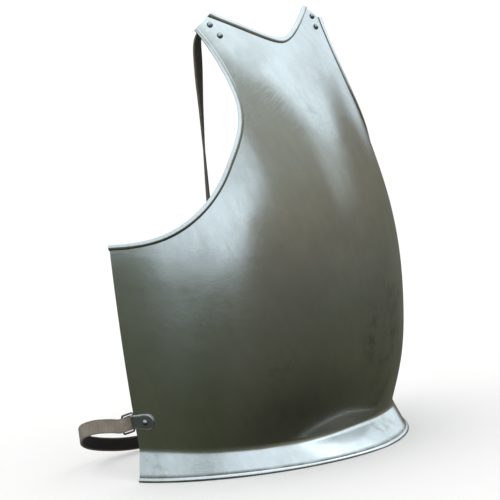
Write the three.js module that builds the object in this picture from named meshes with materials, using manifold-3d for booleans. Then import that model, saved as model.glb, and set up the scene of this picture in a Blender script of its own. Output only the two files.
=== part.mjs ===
// Steel breastplate: one raised sheet with rolled armholes and neck and a flared waist flange,
// two leather shoulder straps riveted inside the shoulder tips, and a leather waist strap held
// at each side edge by a folded steel tab and a wire frame.
// Millimetres. +X is the wearer's left, +Y the wearer's back, +Z up. The plate stands on its rim.

import * as THREE from 'three';
import { mergeVertices } from 'three/addons/utils/BufferGeometryUtils.js';
import Module from 'manifold-3d';

const wasm = await Module();
wasm.setup();

// ---- driving dimensions -------------------------------------------------------------------

const SHEET = 1.5;              // thickness of the plate
const GAP = 0.35;               // clearance between pieces that touch
const ROUNDNESS = 2.25;         // exponent of the plate's horizontal sections

// Horizontal sections of the plate above the waist seam.
const SECTIONS = [
  { height: 20, halfWidth: 163, depth: 148, setBack: 0 },
  { height: 75, halfWidth: 166.5, depth: 172, setBack: 0 },
  { height: 130, halfWidth: 168.5, depth: 183, setBack: 0 },
  { height: 190, halfWidth: 169, depth: 186, setBack: 0 },
  { height: 250, halfWidth: 167.5, depth: 178.5, setBack: 0 },
  { height: 310, halfWidth: 164.5, depth: 161.5, setBack: 0 },
  { height: 370, halfWidth: 171.5, depth: 137.5, setBack: 0.5 },
  { height: 430, halfWidth: 194, depth: 116.5, setBack: 10.5 },
  { height: 470, halfWidth: 228, depth: 101, setBack: 19.5 },
];

// Flared flange between the waist seam and the lower rim.
const RIM = { halfWidth: 170, depth: 182, roundness: 1.84 };
const SEAM = { side: 31, front: 22, fall: 1.5 };

// Armhole edge from the side corner to the shoulder tip.
const ARMHOLE = [
  { height: 237, halfWidth: 167.9 },
  { height: 245, halfWidth: 158 },
  { height: 262, halfWidth: 144.5 },
  { height: 285, halfWidth: 129.7 },
  { height: 310, halfWidth: 116.6 },
  { height: 335, halfWidth: 106 },
  { height: 361, halfWidth: 99.2 },
  { height: 397, halfWidth: 100.2 },
  { height: 433, halfWidth: 106.3 },
];

// Neck edge, from the notch in the middle up to the shoulder tip.
const NECK = { notch: 417, tip: 449, halfWidth: 76.3, softness: 0.22 };

const EDGE_ROLL = 2.9;          // radius of the rolled neck and armhole edges
const HEM_ROLL = 2.4;           // radius of the rolled lower rim
const HEM_CENTRE = 1.9;         // height of the rim roll's centre, which leaves a flat foot

// Mesh steps over the plate.
const ACROSS = 40;              // cells from one side edge to the other
const ROLL_STEPS = 9;           // points round a rolled edge

// Mesh rows between the seam and the side corner: heights at the side edge and in the middle.
const LOWER_ROWS = [
  { side: 52, middle: 40 },
  { side: 78, middle: 63 },
  { side: 106, middle: 88 },
  { side: 138, middle: 115 },
  { side: 170, middle: 145 },
  { side: 202, middle: 175 },
];
const CORNER_MIDDLE = 205;      // middle height of the row that ends at the side corner
const UPPER_ROWS = 16;          // rows from the side corner to the neck
const NECK_SHARE = 0.7;         // share of the top row taken by the neck
const NECK_BLEND = 0.5;         // how far up the rows begin to follow the neck

// Rivets.
const HEAD_RADIUS = 3.1;
const HEAD_HEIGHT = 2;
const SHANK_RADIUS = 1.25;
const TAIL_RADIUS = 2.5;
const TAIL_HEIGHT = 1;
const ROUND_STEPS = 14;

// Shoulder rivets of the wearer's left side, by height on the plate.
const SHOULDER_RIVETS = [
  { name: 'upper', halfWidth: 85.2, height: 437 },
  { name: 'lower', halfWidth: 80.2, height: 425.5 },
];

// Straps.
const STRAP_WIDTH = 14.4;
const SHOULDER_THICK = 2.2;
const WAIST_THICK = 2.4;

// Side tabs, measured back from the plate's side edge.
const TAB_HEIGHT = 60;          // height of the tab's centre line above the rim
const TAB_HALF = 8;
const FOLD_HALF = 6.5;          // half width of the tab at its fold
const TAB_SHEET = 1.2;
const TAB_LENGTH = 25;
const TAB_RIVET = 15.5;
const FOLD_BACK = 2;            // distance of the fold's centre behind the side edge
const WIRE = 1;                 // radius of the frame's wire
const FRAME_LENGTH = 15;
const FRAME_HALF = 9.2;
const FRAME_DROP = 4.2;         // how far the outer bar hangs below the inner one
const FRAME_CORNER = 1.8;

// ---- general helpers ----------------------------------------------------------------------

// Natural cubic spline through a column of a table.
function spline(keys, values) {
  const last = keys.length - 1;
  const sweep = new Array(last + 1).fill(0);
  const rise = new Array(last + 1).fill(0);
  const bend = new Array(last + 1).fill(0);
  for (let i = 1; i < last; i += 1) {
    const before = keys[i] - keys[i - 1];
    const after = keys[i + 1] - keys[i];
    const pivot = 2 * (before + after) - before * sweep[i - 1];
    const jump = (values[i + 1] - values[i]) / after - (values[i] - values[i - 1]) / before;
    sweep[i] = after / pivot;
    rise[i] = (6 * jump - before * rise[i - 1]) / pivot;
  }
  for (let i = last - 1; i > 0; i -= 1) {
    bend[i] = rise[i] - sweep[i] * bend[i + 1];
  }
  return (key) => {
    let i = 0;
    while (i < last - 1 && key > keys[i + 1]) {
      i += 1;
    }
    const span = keys[i + 1] - keys[i];
    const right = (key - keys[i]) / span;
    const left = 1 - right;
    const curve = (left ** 3 - left) * bend[i] + (right ** 3 - right) * bend[i + 1];
    return left * values[i] + right * values[i + 1] + curve * span * span / 6;
  };
}

function column(table, key, name) {
  return spline(table.map((row) => row[key]), table.map((row) => row[name]));
}

function signedPower(base, exponent) {
  return Math.sign(base) * Math.abs(base) ** exponent;
}

function mix(a, b, share) {
  return a + (b - a) * share;
}

function smooth(share) {
  const s = Math.min(Math.max(share, 0), 1);
  return s * s * (3 - 2 * s);
}

// The point moved by measured amounts along named directions.
function moved(point, ...moves) {
  const result = point.clone();
  for (const [direction, amount] of moves) {
    result.addScaledVector(direction, amount);
  }
  return result;
}

function unit(from, to) {
  return new THREE.Vector3().subVectors(to, from).normalize();
}

// A closed geometry from points and triangles, with its faces turned outwards.
function closedGeometry(points, triangles) {
  const flat = new Float32Array(points.length * 3);
  points.forEach((p, i) => flat.set([p.x, p.y, p.z], i * 3));
  let volume = 0;
  const normal = new THREE.Vector3();
  for (const [a, b, c] of triangles) {
    volume += normal.crossVectors(points[b], points[c]).dot(points[a]);
  }
  const turned = volume < 0 ? triangles.map(([a, b, c]) => [a, c, b]) : triangles;
  const geometry = new THREE.BufferGeometry();
  geometry.setAttribute('position', new THREE.BufferAttribute(flat, 3));
  geometry.setIndex(turned.flat());
  return joined(geometry);
}

// The geometry with shared corners merged and collapsed triangles left out.
function joined(geometry) {
  const bare = geometry.clone();
  bare.deleteAttribute('normal');
  bare.deleteAttribute('uv');
  const merged = mergeVertices(bare, 1e-4);
  const old = merged.index.array;
  const kept = [];
  for (let i = 0; i < old.length; i += 3) {
    const [a, b, c] = [old[i], old[i + 1], old[i + 2]];
    if (a !== b && b !== c && a !== c) {
      kept.push(a, b, c);
    }
  }
  merged.setIndex(kept);
  return merged;
}

function toManifold(geometry) {
  const vertProperties = new Float32Array(geometry.attributes.position.array);
  const triVerts = new Uint32Array(geometry.index.array);
  return new wasm.Manifold(new wasm.Mesh({ numProp: 3, vertProperties, triVerts }));
}

function fromManifold(manifold) {
  const mesh = manifold.getMesh();
  const geometry = new THREE.BufferGeometry();
  geometry.setAttribute('position', new THREE.BufferAttribute(mesh.vertProperties, 3));
  geometry.setIndex(new THREE.BufferAttribute(mesh.triVerts, 1));
  return geometry;
}

// The geometry with each cutter taken away.
function cut(geometry, cutters) {
  let manifold = toManifold(geometry);
  for (const cutter of cutters) {
    manifold = manifold.subtract(toManifold(joined(cutter)));
  }
  return fromManifold(manifold);
}

// ---- the plate's surface ------------------------------------------------------------------

const halfWidthAt = column(SECTIONS, 'height', 'halfWidth');
const depthAt = column(SECTIONS, 'height', 'depth');
const setBackAt = column(SECTIONS, 'height', 'setBack');

function ring(turn, halfWidth, depth, roundness, setBack, height) {
  const x = halfWidth * signedPower(Math.cos(turn), 2 / roundness);
  const y = setBack - depth * signedPower(Math.sin(turn), 2 / roundness);
  return new THREE.Vector3(x, y, height);
}

function section(turn, height) {
  return ring(turn, halfWidthAt(height), depthAt(height), ROUNDNESS, setBackAt(height), height);
}

function seamHeight(turn) {
  return mix(SEAM.side, SEAM.front, Math.abs(Math.sin(turn)) ** SEAM.fall);
}

// A point of the outer surface. Turn runs from 0 at the wearer's left side edge to pi.
function surface(turn, height) {
  const seam = seamHeight(turn);
  if (height >= seam) {
    return section(turn, height);
  }
  const rim = ring(turn, RIM.halfWidth, RIM.depth, RIM.roundness, 0, 0);
  return rim.lerp(section(turn, seam), height / seam);
}

// The outward normal of the outer surface.
function outward(turn, height) {
  const step = 0.01;
  const rise = 0.5;
  const low = Math.min(Math.max(turn, step), Math.PI - step);
  const across = unit(surface(low - step, height), surface(low + step, height));
  const up = unit(surface(turn, height - rise), surface(turn, height + rise));
  return new THREE.Vector3().crossVectors(up, across).normalize();
}

// The turn at which the section at this height reaches a distance x from the middle.
function turnAt(x, height) {
  const share = Math.min(Math.abs(x) / halfWidthAt(height), 1);
  const turn = Math.acos(share ** (ROUNDNESS / 2));
  return x >= 0 ? turn : Math.PI - turn;
}

// ---- the plate's edges, on the wearer's left ----------------------------------------------

const armholeTurns = ARMHOLE.map(({ halfWidth, height }) => turnAt(halfWidth, height));
const armholeTravel = ARMHOLE.map(() => 0);
for (let i = 1; i < ARMHOLE.length; i += 1) {
  const here = surface(armholeTurns[i], ARMHOLE[i].height);
  const before = surface(armholeTurns[i - 1], ARMHOLE[i - 1].height);
  armholeTravel[i] = armholeTravel[i - 1] + here.distanceTo(before);
}
const armholeLength = armholeTravel.at(-1);
const armholeTurnAt = spline(armholeTravel, armholeTurns);
const armholeHeightAt = spline(armholeTravel, ARMHOLE.map((row) => row.height));

function armholeEdge(share) {
  const travel = share * armholeLength;
  const height = armholeHeightAt(travel);
  const turn = Math.max(armholeTurnAt(travel), 0);
  return surface(turn, height);
}

function neckEdge(share) {
  const { notch, tip, halfWidth, softness } = NECK;
  const reach = Math.hypot(1, softness) - softness;
  const height = notch + (tip - notch) * (Math.hypot(share, softness) - softness) / reach;
  return surface(turnAt(share * halfWidth, height), height);
}

// The line inside an edge where its roll meets the sheet, and the way out across the roll.
function rolledEdge(edge, share, outSign) {
  const step = 0.01;
  const point = edge(share);
  const ahead = edge(Math.min(share + step, 1));
  const behind = edge(Math.max(share - step, 0));
  const along = unit(behind, ahead);
  const normal = outward(turnAt(point.x, point.z), point.z);
  const out = new THREE.Vector3().crossVectors(normal, along).normalize();
  out.multiplyScalar(outSign);
  const inset = rollReach(EDGE_ROLL);
  const root = moved(point, [out, -inset]);
  return { turn: turnAt(root.x, root.z), height: root.z, out };
}

// Distance from the outermost point of a roll to the line where it meets the outer face.
function rollReach(radius) {
  return radius + Math.sqrt(radius ** 2 - (radius - SHEET) ** 2);
}

const tipOuter = armholeEdge(1);
const tipInner = neckEdge(1);
const tipLine = unit(tipInner, tipOuter);

// At the shoulder tip the rolls are cut off flush with the tip's straight edge.
function mitredEnd(corner, plain, direction) {
  const stretch = 1 / Math.max(direction.dot(plain.out), 0.5);
  const out = direction.clone().multiplyScalar(stretch);
  const root = moved(corner, [out, -rollReach(EDGE_ROLL)]);
  return { turn: turnAt(root.x, root.z), height: root.z, out };
}

function armholeStation(row) {
  const station = rolledEdge(armholeEdge, row / UPPER_ROWS, -1);
  if (row === 0) {
    station.turn = 0;
    station.out = new THREE.Vector3(0, 0, 1);
    station.height = ARMHOLE[0].height - rollReach(EDGE_ROLL);
  }
  return row === UPPER_ROWS ? mitredEnd(tipOuter, station, tipLine) : station;
}

function neckStation(share) {
  const station = rolledEdge(neckEdge, share, 1);
  return share === 1 ? mitredEnd(tipInner, station, tipLine.clone().negate()) : station;
}

// The lowest mesh line: where the rim's roll meets the flange.
function rimStation(turn) {
  const foot = ring(turn, RIM.halfWidth, RIM.depth, RIM.roundness, 0, 0);
  const out = unit(section(turn, seamHeight(turn)), foot);
  const normal = outward(turn, SEAM.front / 2);
  const centre = -HEM_ROLL * out.z + (HEM_ROLL - SHEET) * normal.z;
  const shift = (centre - HEM_CENTRE) / -out.z;
  return { height: (rollReach(HEM_ROLL) - shift) * -out.z, out };
}

// ---- the plate ----------------------------------------------------------------------------

const FLANGE_ROWS = 2;
const CORNER_ROW = FLANGE_ROWS + LOWER_ROWS.length + 1;
const TOP_ROW = CORNER_ROW + UPPER_ROWS;

// Turn and height of a mesh corner on the wearer's left; reach is 0 in the middle, 1 at the edge.
function leftCorner(row, reach) {
  const middleTurn = Math.PI / 2;
  if (row <= FLANGE_ROWS) {
    const turn = middleTurn * (1 - reach);
    return { turn, height: mix(rimStation(turn).height, seamHeight(turn), row / FLANGE_ROWS) };
  }
  if (row < CORNER_ROW) {
    const { side, middle } = LOWER_ROWS[row - FLANGE_ROWS - 1];
    return { turn: middleTurn * (1 - reach), height: mix(middle, side, reach ** 2) };
  }
  const share = (row - CORNER_ROW) / UPPER_ROWS;
  const edge = armholeStation(row - CORNER_ROW);
  const top = armholeStation(UPPER_ROWS);
  const notch = neckStation(0);
  const middle = mix(CORNER_MIDDLE, notch.height, share);
  const plain = mix(middle, edge.height, reach ** 2);
  const plainTop = mix(notch.height, top.height, reach ** 2);
  const neck = topCorner(reach, top);
  const follow = smooth((share - NECK_BLEND) / (1 - NECK_BLEND));
  return {
    turn: mix(mix(middleTurn, edge.turn, reach), neck.turn, follow),
    height: plain + follow * (neck.height - plainTop),
  };
}

// The top row: the neck, then the shoulder tip's straight edge.
function topCorner(reach, outer) {
  const inner = neckStation(1);
  if (reach <= NECK_SHARE) {
    return neckStation(reach / NECK_SHARE);
  }
  const share = (reach - NECK_SHARE) / (1 - NECK_SHARE);
  const from = surface(inner.turn, inner.height);
  const to = surface(outer.turn, outer.height);
  const point = from.lerp(to, share);
  return { turn: turnAt(point.x, point.z), height: point.z };
}

function mirrored(vector) {
  return new THREE.Vector3(-vector.x, vector.y, vector.z);
}

// Mesh column 0 is the wearer's right side edge, column ACROSS the left one.
function plateCorner(row, step) {
  const reach = 2 * step / ACROSS - 1;
  const { turn, height } = leftCorner(row, Math.abs(reach));
  const point = surface(turn, height);
  const normal = outward(turn, height);
  return reach < 0
    ? { point: mirrored(point), normal: mirrored(normal) }
    : { point, normal };
}

// A plain cut edge: points down the thickness of the sheet.
function plainProfile(corner) {
  const points = [];
  for (let k = 1; k <= ROLL_STEPS; k += 1) {
    points.push(moved(corner.point, [corner.normal, -SHEET * k / (ROLL_STEPS + 1)]));
  }
  return points;
}

// A rolled edge: the sheet curls outwards round a roll that meets its own outer face.
function rolledProfile(corner, out, radius) {
  const centreOut = Math.sqrt(radius ** 2 - (radius - SHEET) ** 2);
  const centreUp = radius - SHEET;
  const from = Math.PI + Math.asin(centreUp / radius);
  const to = -Math.PI / 2;
  const points = [];
  for (let k = 1; k <= ROLL_STEPS; k += 1) {
    const angle = mix(from, to, k / ROLL_STEPS);
    const ahead = centreOut + radius * Math.cos(angle);
    const up = centreUp + radius * Math.sin(angle);
    points.push(moved(corner.point, [out, ahead], [corner.normal, up]));
  }
  return points;
}

function hemProfile(corner, turn, flip) {
  const { out } = rimStation(turn);
  const points = rolledProfile(corner, flip ? mirrored(out) : out, HEM_ROLL);
  return points.map((p) => new THREE.Vector3(p.x, p.y, Math.max(p.z, 0)));
}

// The stations round the plate's border, anticlockwise as seen from the front.
function borderStations(at) {
  const stations = [];
  const half = ACROSS / 2;
  for (let i = 0; i <= ACROSS; i += 1) {
    const reach = Math.abs(i - half) / half;
    const turn = Math.PI / 2 * (1 - reach);
    stations.push({ row: 0, step: i, profile: hemProfile(at(0, i), turn, i < half) });
  }
  for (let j = 0; j <= CORNER_ROW; j += 1) {
    stations.push({ row: j, step: ACROSS, profile: plainProfile(at(j, ACROSS)) });
  }
  for (let j = CORNER_ROW; j <= TOP_ROW; j += 1) {
    const { out } = armholeStation(j - CORNER_ROW);
    stations.push({ row: j, step: ACROSS, profile: rolledProfile(at(j, ACROSS), out, EDGE_ROLL) });
  }
  const neckSteps = Math.round(NECK_SHARE * half);
  for (let i = ACROSS; i >= half + neckSteps; i -= 1) {
    stations.push({ row: TOP_ROW, step: i, profile: plainProfile(at(TOP_ROW, i)) });
  }
  for (let i = half + neckSteps; i >= half - neckSteps; i -= 1) {
    const { out } = neckStation(Math.abs(i - half) / neckSteps);
    const way = i < half ? mirrored(out) : out;
    stations.push({ row: TOP_ROW, step: i, profile: rolledProfile(at(TOP_ROW, i), way, EDGE_ROLL) });
  }
  for (let i = half - neckSteps; i >= 0; i -= 1) {
    stations.push({ row: TOP_ROW, step: i, profile: plainProfile(at(TOP_ROW, i)) });
  }
  for (let j = TOP_ROW; j >= CORNER_ROW; j -= 1) {
    const out = mirrored(armholeStation(j - CORNER_ROW).out);
    stations.push({ row: j, step: 0, profile: rolledProfile(at(j, 0), out, EDGE_ROLL) });
  }
  for (let j = CORNER_ROW; j >= 0; j -= 1) {
    stations.push({ row: j, step: 0, profile: plainProfile(at(j, 0)) });
  }
  return stations;
}

function plateGeometry() {
  const corners = [];
  for (let j = 0; j <= TOP_ROW; j += 1) {
    for (let i = 0; i <= ACROSS; i += 1) {
      corners.push(plateCorner(j, i));
    }
  }
  const index = (j, i) => j * (ACROSS + 1) + i;
  const outer = corners.map(({ point }) => point);
  const inner = corners.map(({ point, normal }) => moved(point, [normal, -SHEET]));
  const points = [...outer, ...inner];
  const within = outer.length;
  const triangles = [];
  for (let j = 0; j < TOP_ROW; j += 1) {
    for (let i = 0; i < ACROSS; i += 1) {
      const [a, b] = [index(j, i), index(j, i + 1)];
      const [c, d] = [index(j + 1, i + 1), index(j + 1, i)];
      triangles.push([a, b, c], [a, c, d]);
      triangles.push([a + within, c + within, b + within], [a + within, d + within, c + within]);
    }
  }
  const rails = borderStations((j, i) => corners[index(j, i)]).map(({ row, step, profile }) => {
    const first = points.length;
    points.push(...profile);
    const own = profile.map((_, k) => first + k);
    return [index(row, step), ...own, index(row, step) + within];
  });
  rails.forEach((rail, s) => {
    const next = rails[(s + 1) % rails.length];
    for (let k = 0; k < rail.length - 1; k += 1) {
      triangles.push([next[k], rail[k], rail[k + 1]], [next[k], rail[k + 1], next[k + 1]]);
    }
  });
  return closedGeometry(points, triangles);
}

// ---- rivets -------------------------------------------------------------------------------

// A straight round bar along local Y, placed on a point with Y along a direction.
function placedOn(geometry, point, direction) {
  const turn = new THREE.Quaternion().setFromUnitVectors(new THREE.Vector3(0, 1, 0), direction);
  return geometry.applyQuaternion(turn).translate(point.x, point.y, point.z);
}

// A domed head outside, a shank through what it holds, and a flat hammered tail inside.
function rivetGeometry(point, normal, grip) {
  const base = GAP;
  const profile = [new THREE.Vector2(0, base + HEAD_HEIGHT)];
  for (const angle of [65, 40, 18]) {
    const radians = THREE.MathUtils.degToRad(angle);
    const radius = HEAD_RADIUS * Math.cos(radians);
    profile.push(new THREE.Vector2(radius, base + HEAD_HEIGHT * Math.sin(radians)));
  }
  profile.push(new THREE.Vector2(HEAD_RADIUS, base));
  profile.push(new THREE.Vector2(SHANK_RADIUS, base));
  profile.push(new THREE.Vector2(SHANK_RADIUS, -grip));
  profile.push(new THREE.Vector2(TAIL_RADIUS, -grip));
  profile.push(new THREE.Vector2(TAIL_RADIUS * 0.8, -grip - TAIL_HEIGHT));
  profile.push(new THREE.Vector2(0, -grip - TAIL_HEIGHT));
  profile.reverse();
  return placedOn(joined(new THREE.LatheGeometry(profile, ROUND_STEPS)), point, normal);
}

function holeCutter(point, normal) {
  const bar = new THREE.CylinderGeometry(SHANK_RADIUS + GAP, SHANK_RADIUS + GAP, 24, ROUND_STEPS);
  return placedOn(bar, point, normal);
}

// Room for a rivet's tail where the strap already turns away from the plate.
function tailCutter(point, normal, grip) {
  const radius = TAIL_RADIUS + GAP;
  const deep = TAIL_HEIGHT + 2 * GAP;
  const disc = new THREE.CylinderGeometry(radius, radius, deep, ROUND_STEPS);
  return placedOn(disc, moved(point, [normal, -grip - TAIL_HEIGHT / 2]), normal);
}

// ---- ribbons: straps and tabs -------------------------------------------------------------

// A flat strip through stations { point, across, face, half, thick }.
function ribbonGeometry(stations) {
  const points = [];
  const triangles = [];
  stations.forEach(({ point, across, face, half, thick }, s) => {
    for (const [side, level] of [[-1, -1], [1, -1], [1, 1], [-1, 1]]) {
      points.push(moved(point, [across, side * half], [face, level * thick / 2]));
    }
    if (s === 0) {
      return;
    }
    const now = s * 4;
    const before = now - 4;
    for (let k = 0; k < 4; k += 1) {
      const m = (k + 1) % 4;
      triangles.push([before + k, now + k, now + m], [before + k, now + m, before + m]);
    }
  });
  const end = points.length - 4;
  triangles.push([0, 1, 2], [0, 2, 3], [end, end + 2, end + 1], [end, end + 3, end + 2]);
  return closedGeometry(points, triangles);
}

// Half width of a strip that ends in a half circle, at a distance from its tip.
function roundEnd(half, distance) {
  const inside = Math.max(half - distance, 0);
  return Math.sqrt(Math.max(half ** 2 - inside ** 2, (half * 0.25) ** 2));
}

// ---- shoulder straps ----------------------------------------------------------------------

// The free stretch of the wearer's left strap, from the tip down inside the plate.
// Facing is the compass angle of the strap's width, in degrees from +X towards -Y.
const SHOULDER_FALL = [
  { x: 89, y: -79.3, height: 425, facing: 2 },
  { x: 90, y: -77.4, height: 405, facing: -10 },
  { x: 90, y: -75.6, height: 385, facing: -17 },
  { x: 90, y: -74, height: 365, facing: -24 },
  { x: 89.8, y: -72.4, height: 345, facing: -31 },
  { x: 89.6, y: -70.8, height: 325, facing: -37 },
  { x: 89.3, y: -69, height: 300, facing: -43 },
  { x: 89, y: -67, height: 270, facing: -48 },
  { x: 88.5, y: -64.5, height: 230, facing: -52 },
  { x: 88, y: -62.4, height: 190, facing: -50 },
  { x: 87.5, y: -60.5, height: 150, facing: -46 },
];
const SHOULDER_END = { height: 118, x: 87.2, y: -59.3 };
const SHOULDER_TUCK = [34, 29, 24, 18, 12, 8, 5.2];   // distances down from the tip, inside
const SHOULDER_BEND = 3.4;      // radius at which the strap turns over behind the tip

function shoulderStations() {
  const [upper, lower] = SHOULDER_RIVETS.map(({ halfWidth, height }) => (
    surface(turnAt(halfWidth, height), height)
  ));
  const way = unit(lower, upper);
  const across = tipLine;
  const tipPoint = new THREE.Vector3().lerpVectors(tipInner, tipOuter, 0.42);
  const climb = new THREE.Vector3().subVectors(tipPoint, upper).dot(way);
  const tip = moved(upper, [way, climb]);
  const depth = SHEET + GAP + SHOULDER_THICK / 2;
  const stations = SHOULDER_TUCK.map((down) => {
    const guess = moved(tip, [way, -down]);
    const turn = turnAt(guess.x, guess.z);
    const normal = outward(turn, guess.z);
    const point = moved(surface(turn, guess.z), [normal, -depth]);
    const half = Math.min(roundEnd(STRAP_WIDTH / 2, SHOULDER_TUCK[0] - down), STRAP_WIDTH / 2);
    return { point, across, face: normal, half, thick: SHOULDER_THICK };
  });
  const lastIn = stations.at(-1);
  const inward = lastIn.face.clone().negate();
  const start = lastIn.point;
  for (const degrees of [25, 55, 85, 115, 145]) {
    const angle = THREE.MathUtils.degToRad(degrees);
    const ahead = SHOULDER_BEND * Math.sin(angle);
    const point = moved(start, [way, ahead], [inward, SHOULDER_BEND * (1 - Math.cos(angle))]);
    const face = moved(new THREE.Vector3(), [way, Math.sin(angle)], [inward, -Math.cos(angle)]);
    stations.push({ point, across, face, half: STRAP_WIDTH / 2, thick: SHOULDER_THICK });
  }
  for (const [i, row] of [...SHOULDER_FALL, SHOULDER_END].entries()) {
    const { facing } = SHOULDER_FALL[Math.min(i, SHOULDER_FALL.length - 1)];
    const compass = THREE.MathUtils.degToRad(facing);
    const level = new THREE.Vector3(Math.cos(compass), Math.sin(compass), 0);
    const lean = smooth(1 - i / 3);
    const width = level.lerp(across, lean).normalize();
    const face = new THREE.Vector3().crossVectors(width, new THREE.Vector3(0, 0, 1)).normalize();
    const half = row === SHOULDER_END ? STRAP_WIDTH / 4 : STRAP_WIDTH / 2;
    const point = new THREE.Vector3(row.x, row.y, row.height);
    stations.push({ point, across: width, face: face.negate(), half, thick: SHOULDER_THICK });
  }
  return stations;
}

// ---- side tabs and frames -----------------------------------------------------------------

// A place near the plate's side edge at the wearer's left: ahead is measured forwards from the
// edge, proud outwards from the plate's outer face.
function sidePlace(ahead, proud, height) {
  const setForward = Math.max(ahead, 0);
  const turn = Math.asin((setForward / depthAt(height)) ** (ROUNDNESS / 2));
  const normal = outward(turn, height);
  const point = moved(surface(turn, height), [normal, proud]);
  point.y += setForward - ahead;
  const climb = unit(surface(turn, height - 1), surface(turn, height + 1));
  return { point, normal, climb };
}

const SHEET_MIDDLE = -SHEET / 2;
const LEAF_OFFSET = SHEET / 2 + GAP + TAB_SHEET / 2;
const FOLD_RADIUS = WIRE + GAP + TAB_SHEET / 2;

function tabStations() {
  const stations = [];
  const leaf = [0, 0.6, 2, 4.5, 8, 13, 18, 23];
  const leafStations = (side) => leaf.map((fromEnd) => {
    const ahead = TAB_LENGTH - fromEnd;
    const proud = SHEET_MIDDLE + side * LEAF_OFFSET;
    const { point, normal, climb } = sidePlace(ahead, proud, TAB_HEIGHT);
    const waisted = mix(FOLD_HALF, TAB_HALF, smooth(ahead / TAB_RIVET));
    const half = Math.min(roundEnd(TAB_HALF, fromEnd), waisted);
    return { point, across: climb, face: normal, half, thick: TAB_SHEET };
  });
  stations.push(...leafStations(1));
  for (const degrees of [80, 50, 20, -20, -50, -80]) {
    const angle = THREE.MathUtils.degToRad(degrees);
    const proud = SHEET_MIDDLE + FOLD_RADIUS * Math.sin(angle);
    const behind = FOLD_BACK + FOLD_RADIUS * Math.cos(angle);
    const { point, normal, climb } = sidePlace(-behind, proud, TAB_HEIGHT);
    const back = new THREE.Vector3(0, 1, 0);
    const face = moved(new THREE.Vector3(), [normal, Math.sin(angle)], [back, Math.cos(angle)]);
    stations.push({ point, across: climb, face, half: FOLD_HALF, thick: TAB_SHEET });
  }
  for (const station of leafStations(-1).reverse()) {
    stations.push({ ...station, face: station.face.clone().negate() });
  }
  return stations;
}

// The wire frame: its inner bar lies in the tab's fold, its outer bar hangs a little lower.
function frameGeometry(side) {
  const innerBar = sidePlace(-FOLD_BACK, SHEET_MIDDLE, TAB_HEIGHT).point;
  const place = (back, up) => {
    const drop = FRAME_DROP * back / FRAME_LENGTH;
    return new THREE.Vector3(side * innerBar.x, innerBar.y + back, TAB_HEIGHT + up - drop);
  };
  const corners = [
    { back: 0, up: FRAME_HALF, from: [0, -1], to: [1, 0] },
    { back: FRAME_LENGTH, up: FRAME_HALF, from: [-1, 0], to: [0, -1] },
    { back: FRAME_LENGTH, up: -FRAME_HALF, from: [0, 1], to: [-1, 0] },
    { back: 0, up: -FRAME_HALF, from: [1, 0], to: [0, 1] },
  ];
  const path = new THREE.CurvePath();
  let previous = null;
  let first = null;
  for (const { back, up, from, to } of corners) {
    const enter = place(back + from[0] * FRAME_CORNER, up + from[1] * FRAME_CORNER);
    const leave = place(back + to[0] * FRAME_CORNER, up + to[1] * FRAME_CORNER);
    if (previous) {
      path.add(new THREE.LineCurve3(previous, enter));
    }
    first = first ?? enter;
    path.add(new THREE.QuadraticBezierCurve3(enter, place(back, up), leave));
    previous = leave;
  }
  path.add(new THREE.LineCurve3(previous, first));
  return wireLoop(path.getSpacedPoints(36).slice(0, -1), new THREE.Vector3(1, 0, 0));
}

// A round wire along a closed flat loop of points.
function wireLoop(loop, flatNormal) {
  const sides = 8;
  const points = [];
  const triangles = [];
  loop.forEach((point, s) => {
    const along = unit(loop.at(s - 1), loop[(s + 1) % loop.length]);
    const sideways = new THREE.Vector3().crossVectors(along, flatNormal).normalize();
    for (let k = 0; k < sides; k += 1) {
      const angle = 2 * Math.PI * (k + 0.5) / sides;
      const [a, b] = [WIRE * Math.cos(angle), WIRE * Math.sin(angle)];
      points.push(moved(point, [sideways, a], [flatNormal, b]));
    }
    const next = (s + 1) % loop.length;
    for (let k = 0; k < sides; k += 1) {
      const m = (k + 1) % sides;
      triangles.push([s * sides + k, s * sides + m, next * sides + m]);
      triangles.push([s * sides + k, next * sides + m, next * sides + k]);
    }
  });
  return closedGeometry(points, triangles);
}

// ---- waist strap --------------------------------------------------------------------------

// The end of the strap at a side edge, from its tail behind the tab to the frame's outer bar.
const WAIST_TAIL = [
  { back: -13, proud: -5.6, height: 60.2 },
  { back: -7, proud: -5.7, height: 60 },
  { back: -1, proud: -5.6, height: 59.7 },
  { back: 4.5, proud: -5, height: 59.1 },
  { back: 9, proud: -2.6, height: 58.1 },
  { back: 12.5, proud: 0.9, height: 57 },
  { back: 17, proud: 2.5, height: 55.8 },
  { back: 22, proud: 2.2, height: 55.4 },
];

// The slack loop behind, from the wearer's right to the left: it sinks until its lower edge
// stands on the surface that the plate stands on.
const WAIST_LOOP = [
  { x: -166.3, y: 30, height: 55.2 },
  { x: -164.5, y: 54, height: 53.5 },
  { x: -157, y: 80, height: 47 },
  { x: -140, y: 102, height: 36 },
  { x: -116, y: 116, height: 25 },
  { x: -90, y: 120, height: 16.5 },
  { x: -62, y: 113, height: 10.5 },
  { x: -30, y: 103, height: 8.2 },
  { x: 10, y: 96, height: 7.8 },
  { x: 60, y: 88, height: 8.6 },
  { x: 105, y: 77, height: 15 },
  { x: 140, y: 60, height: 30 },
  { x: 160, y: 38, height: 46 },
];

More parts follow.
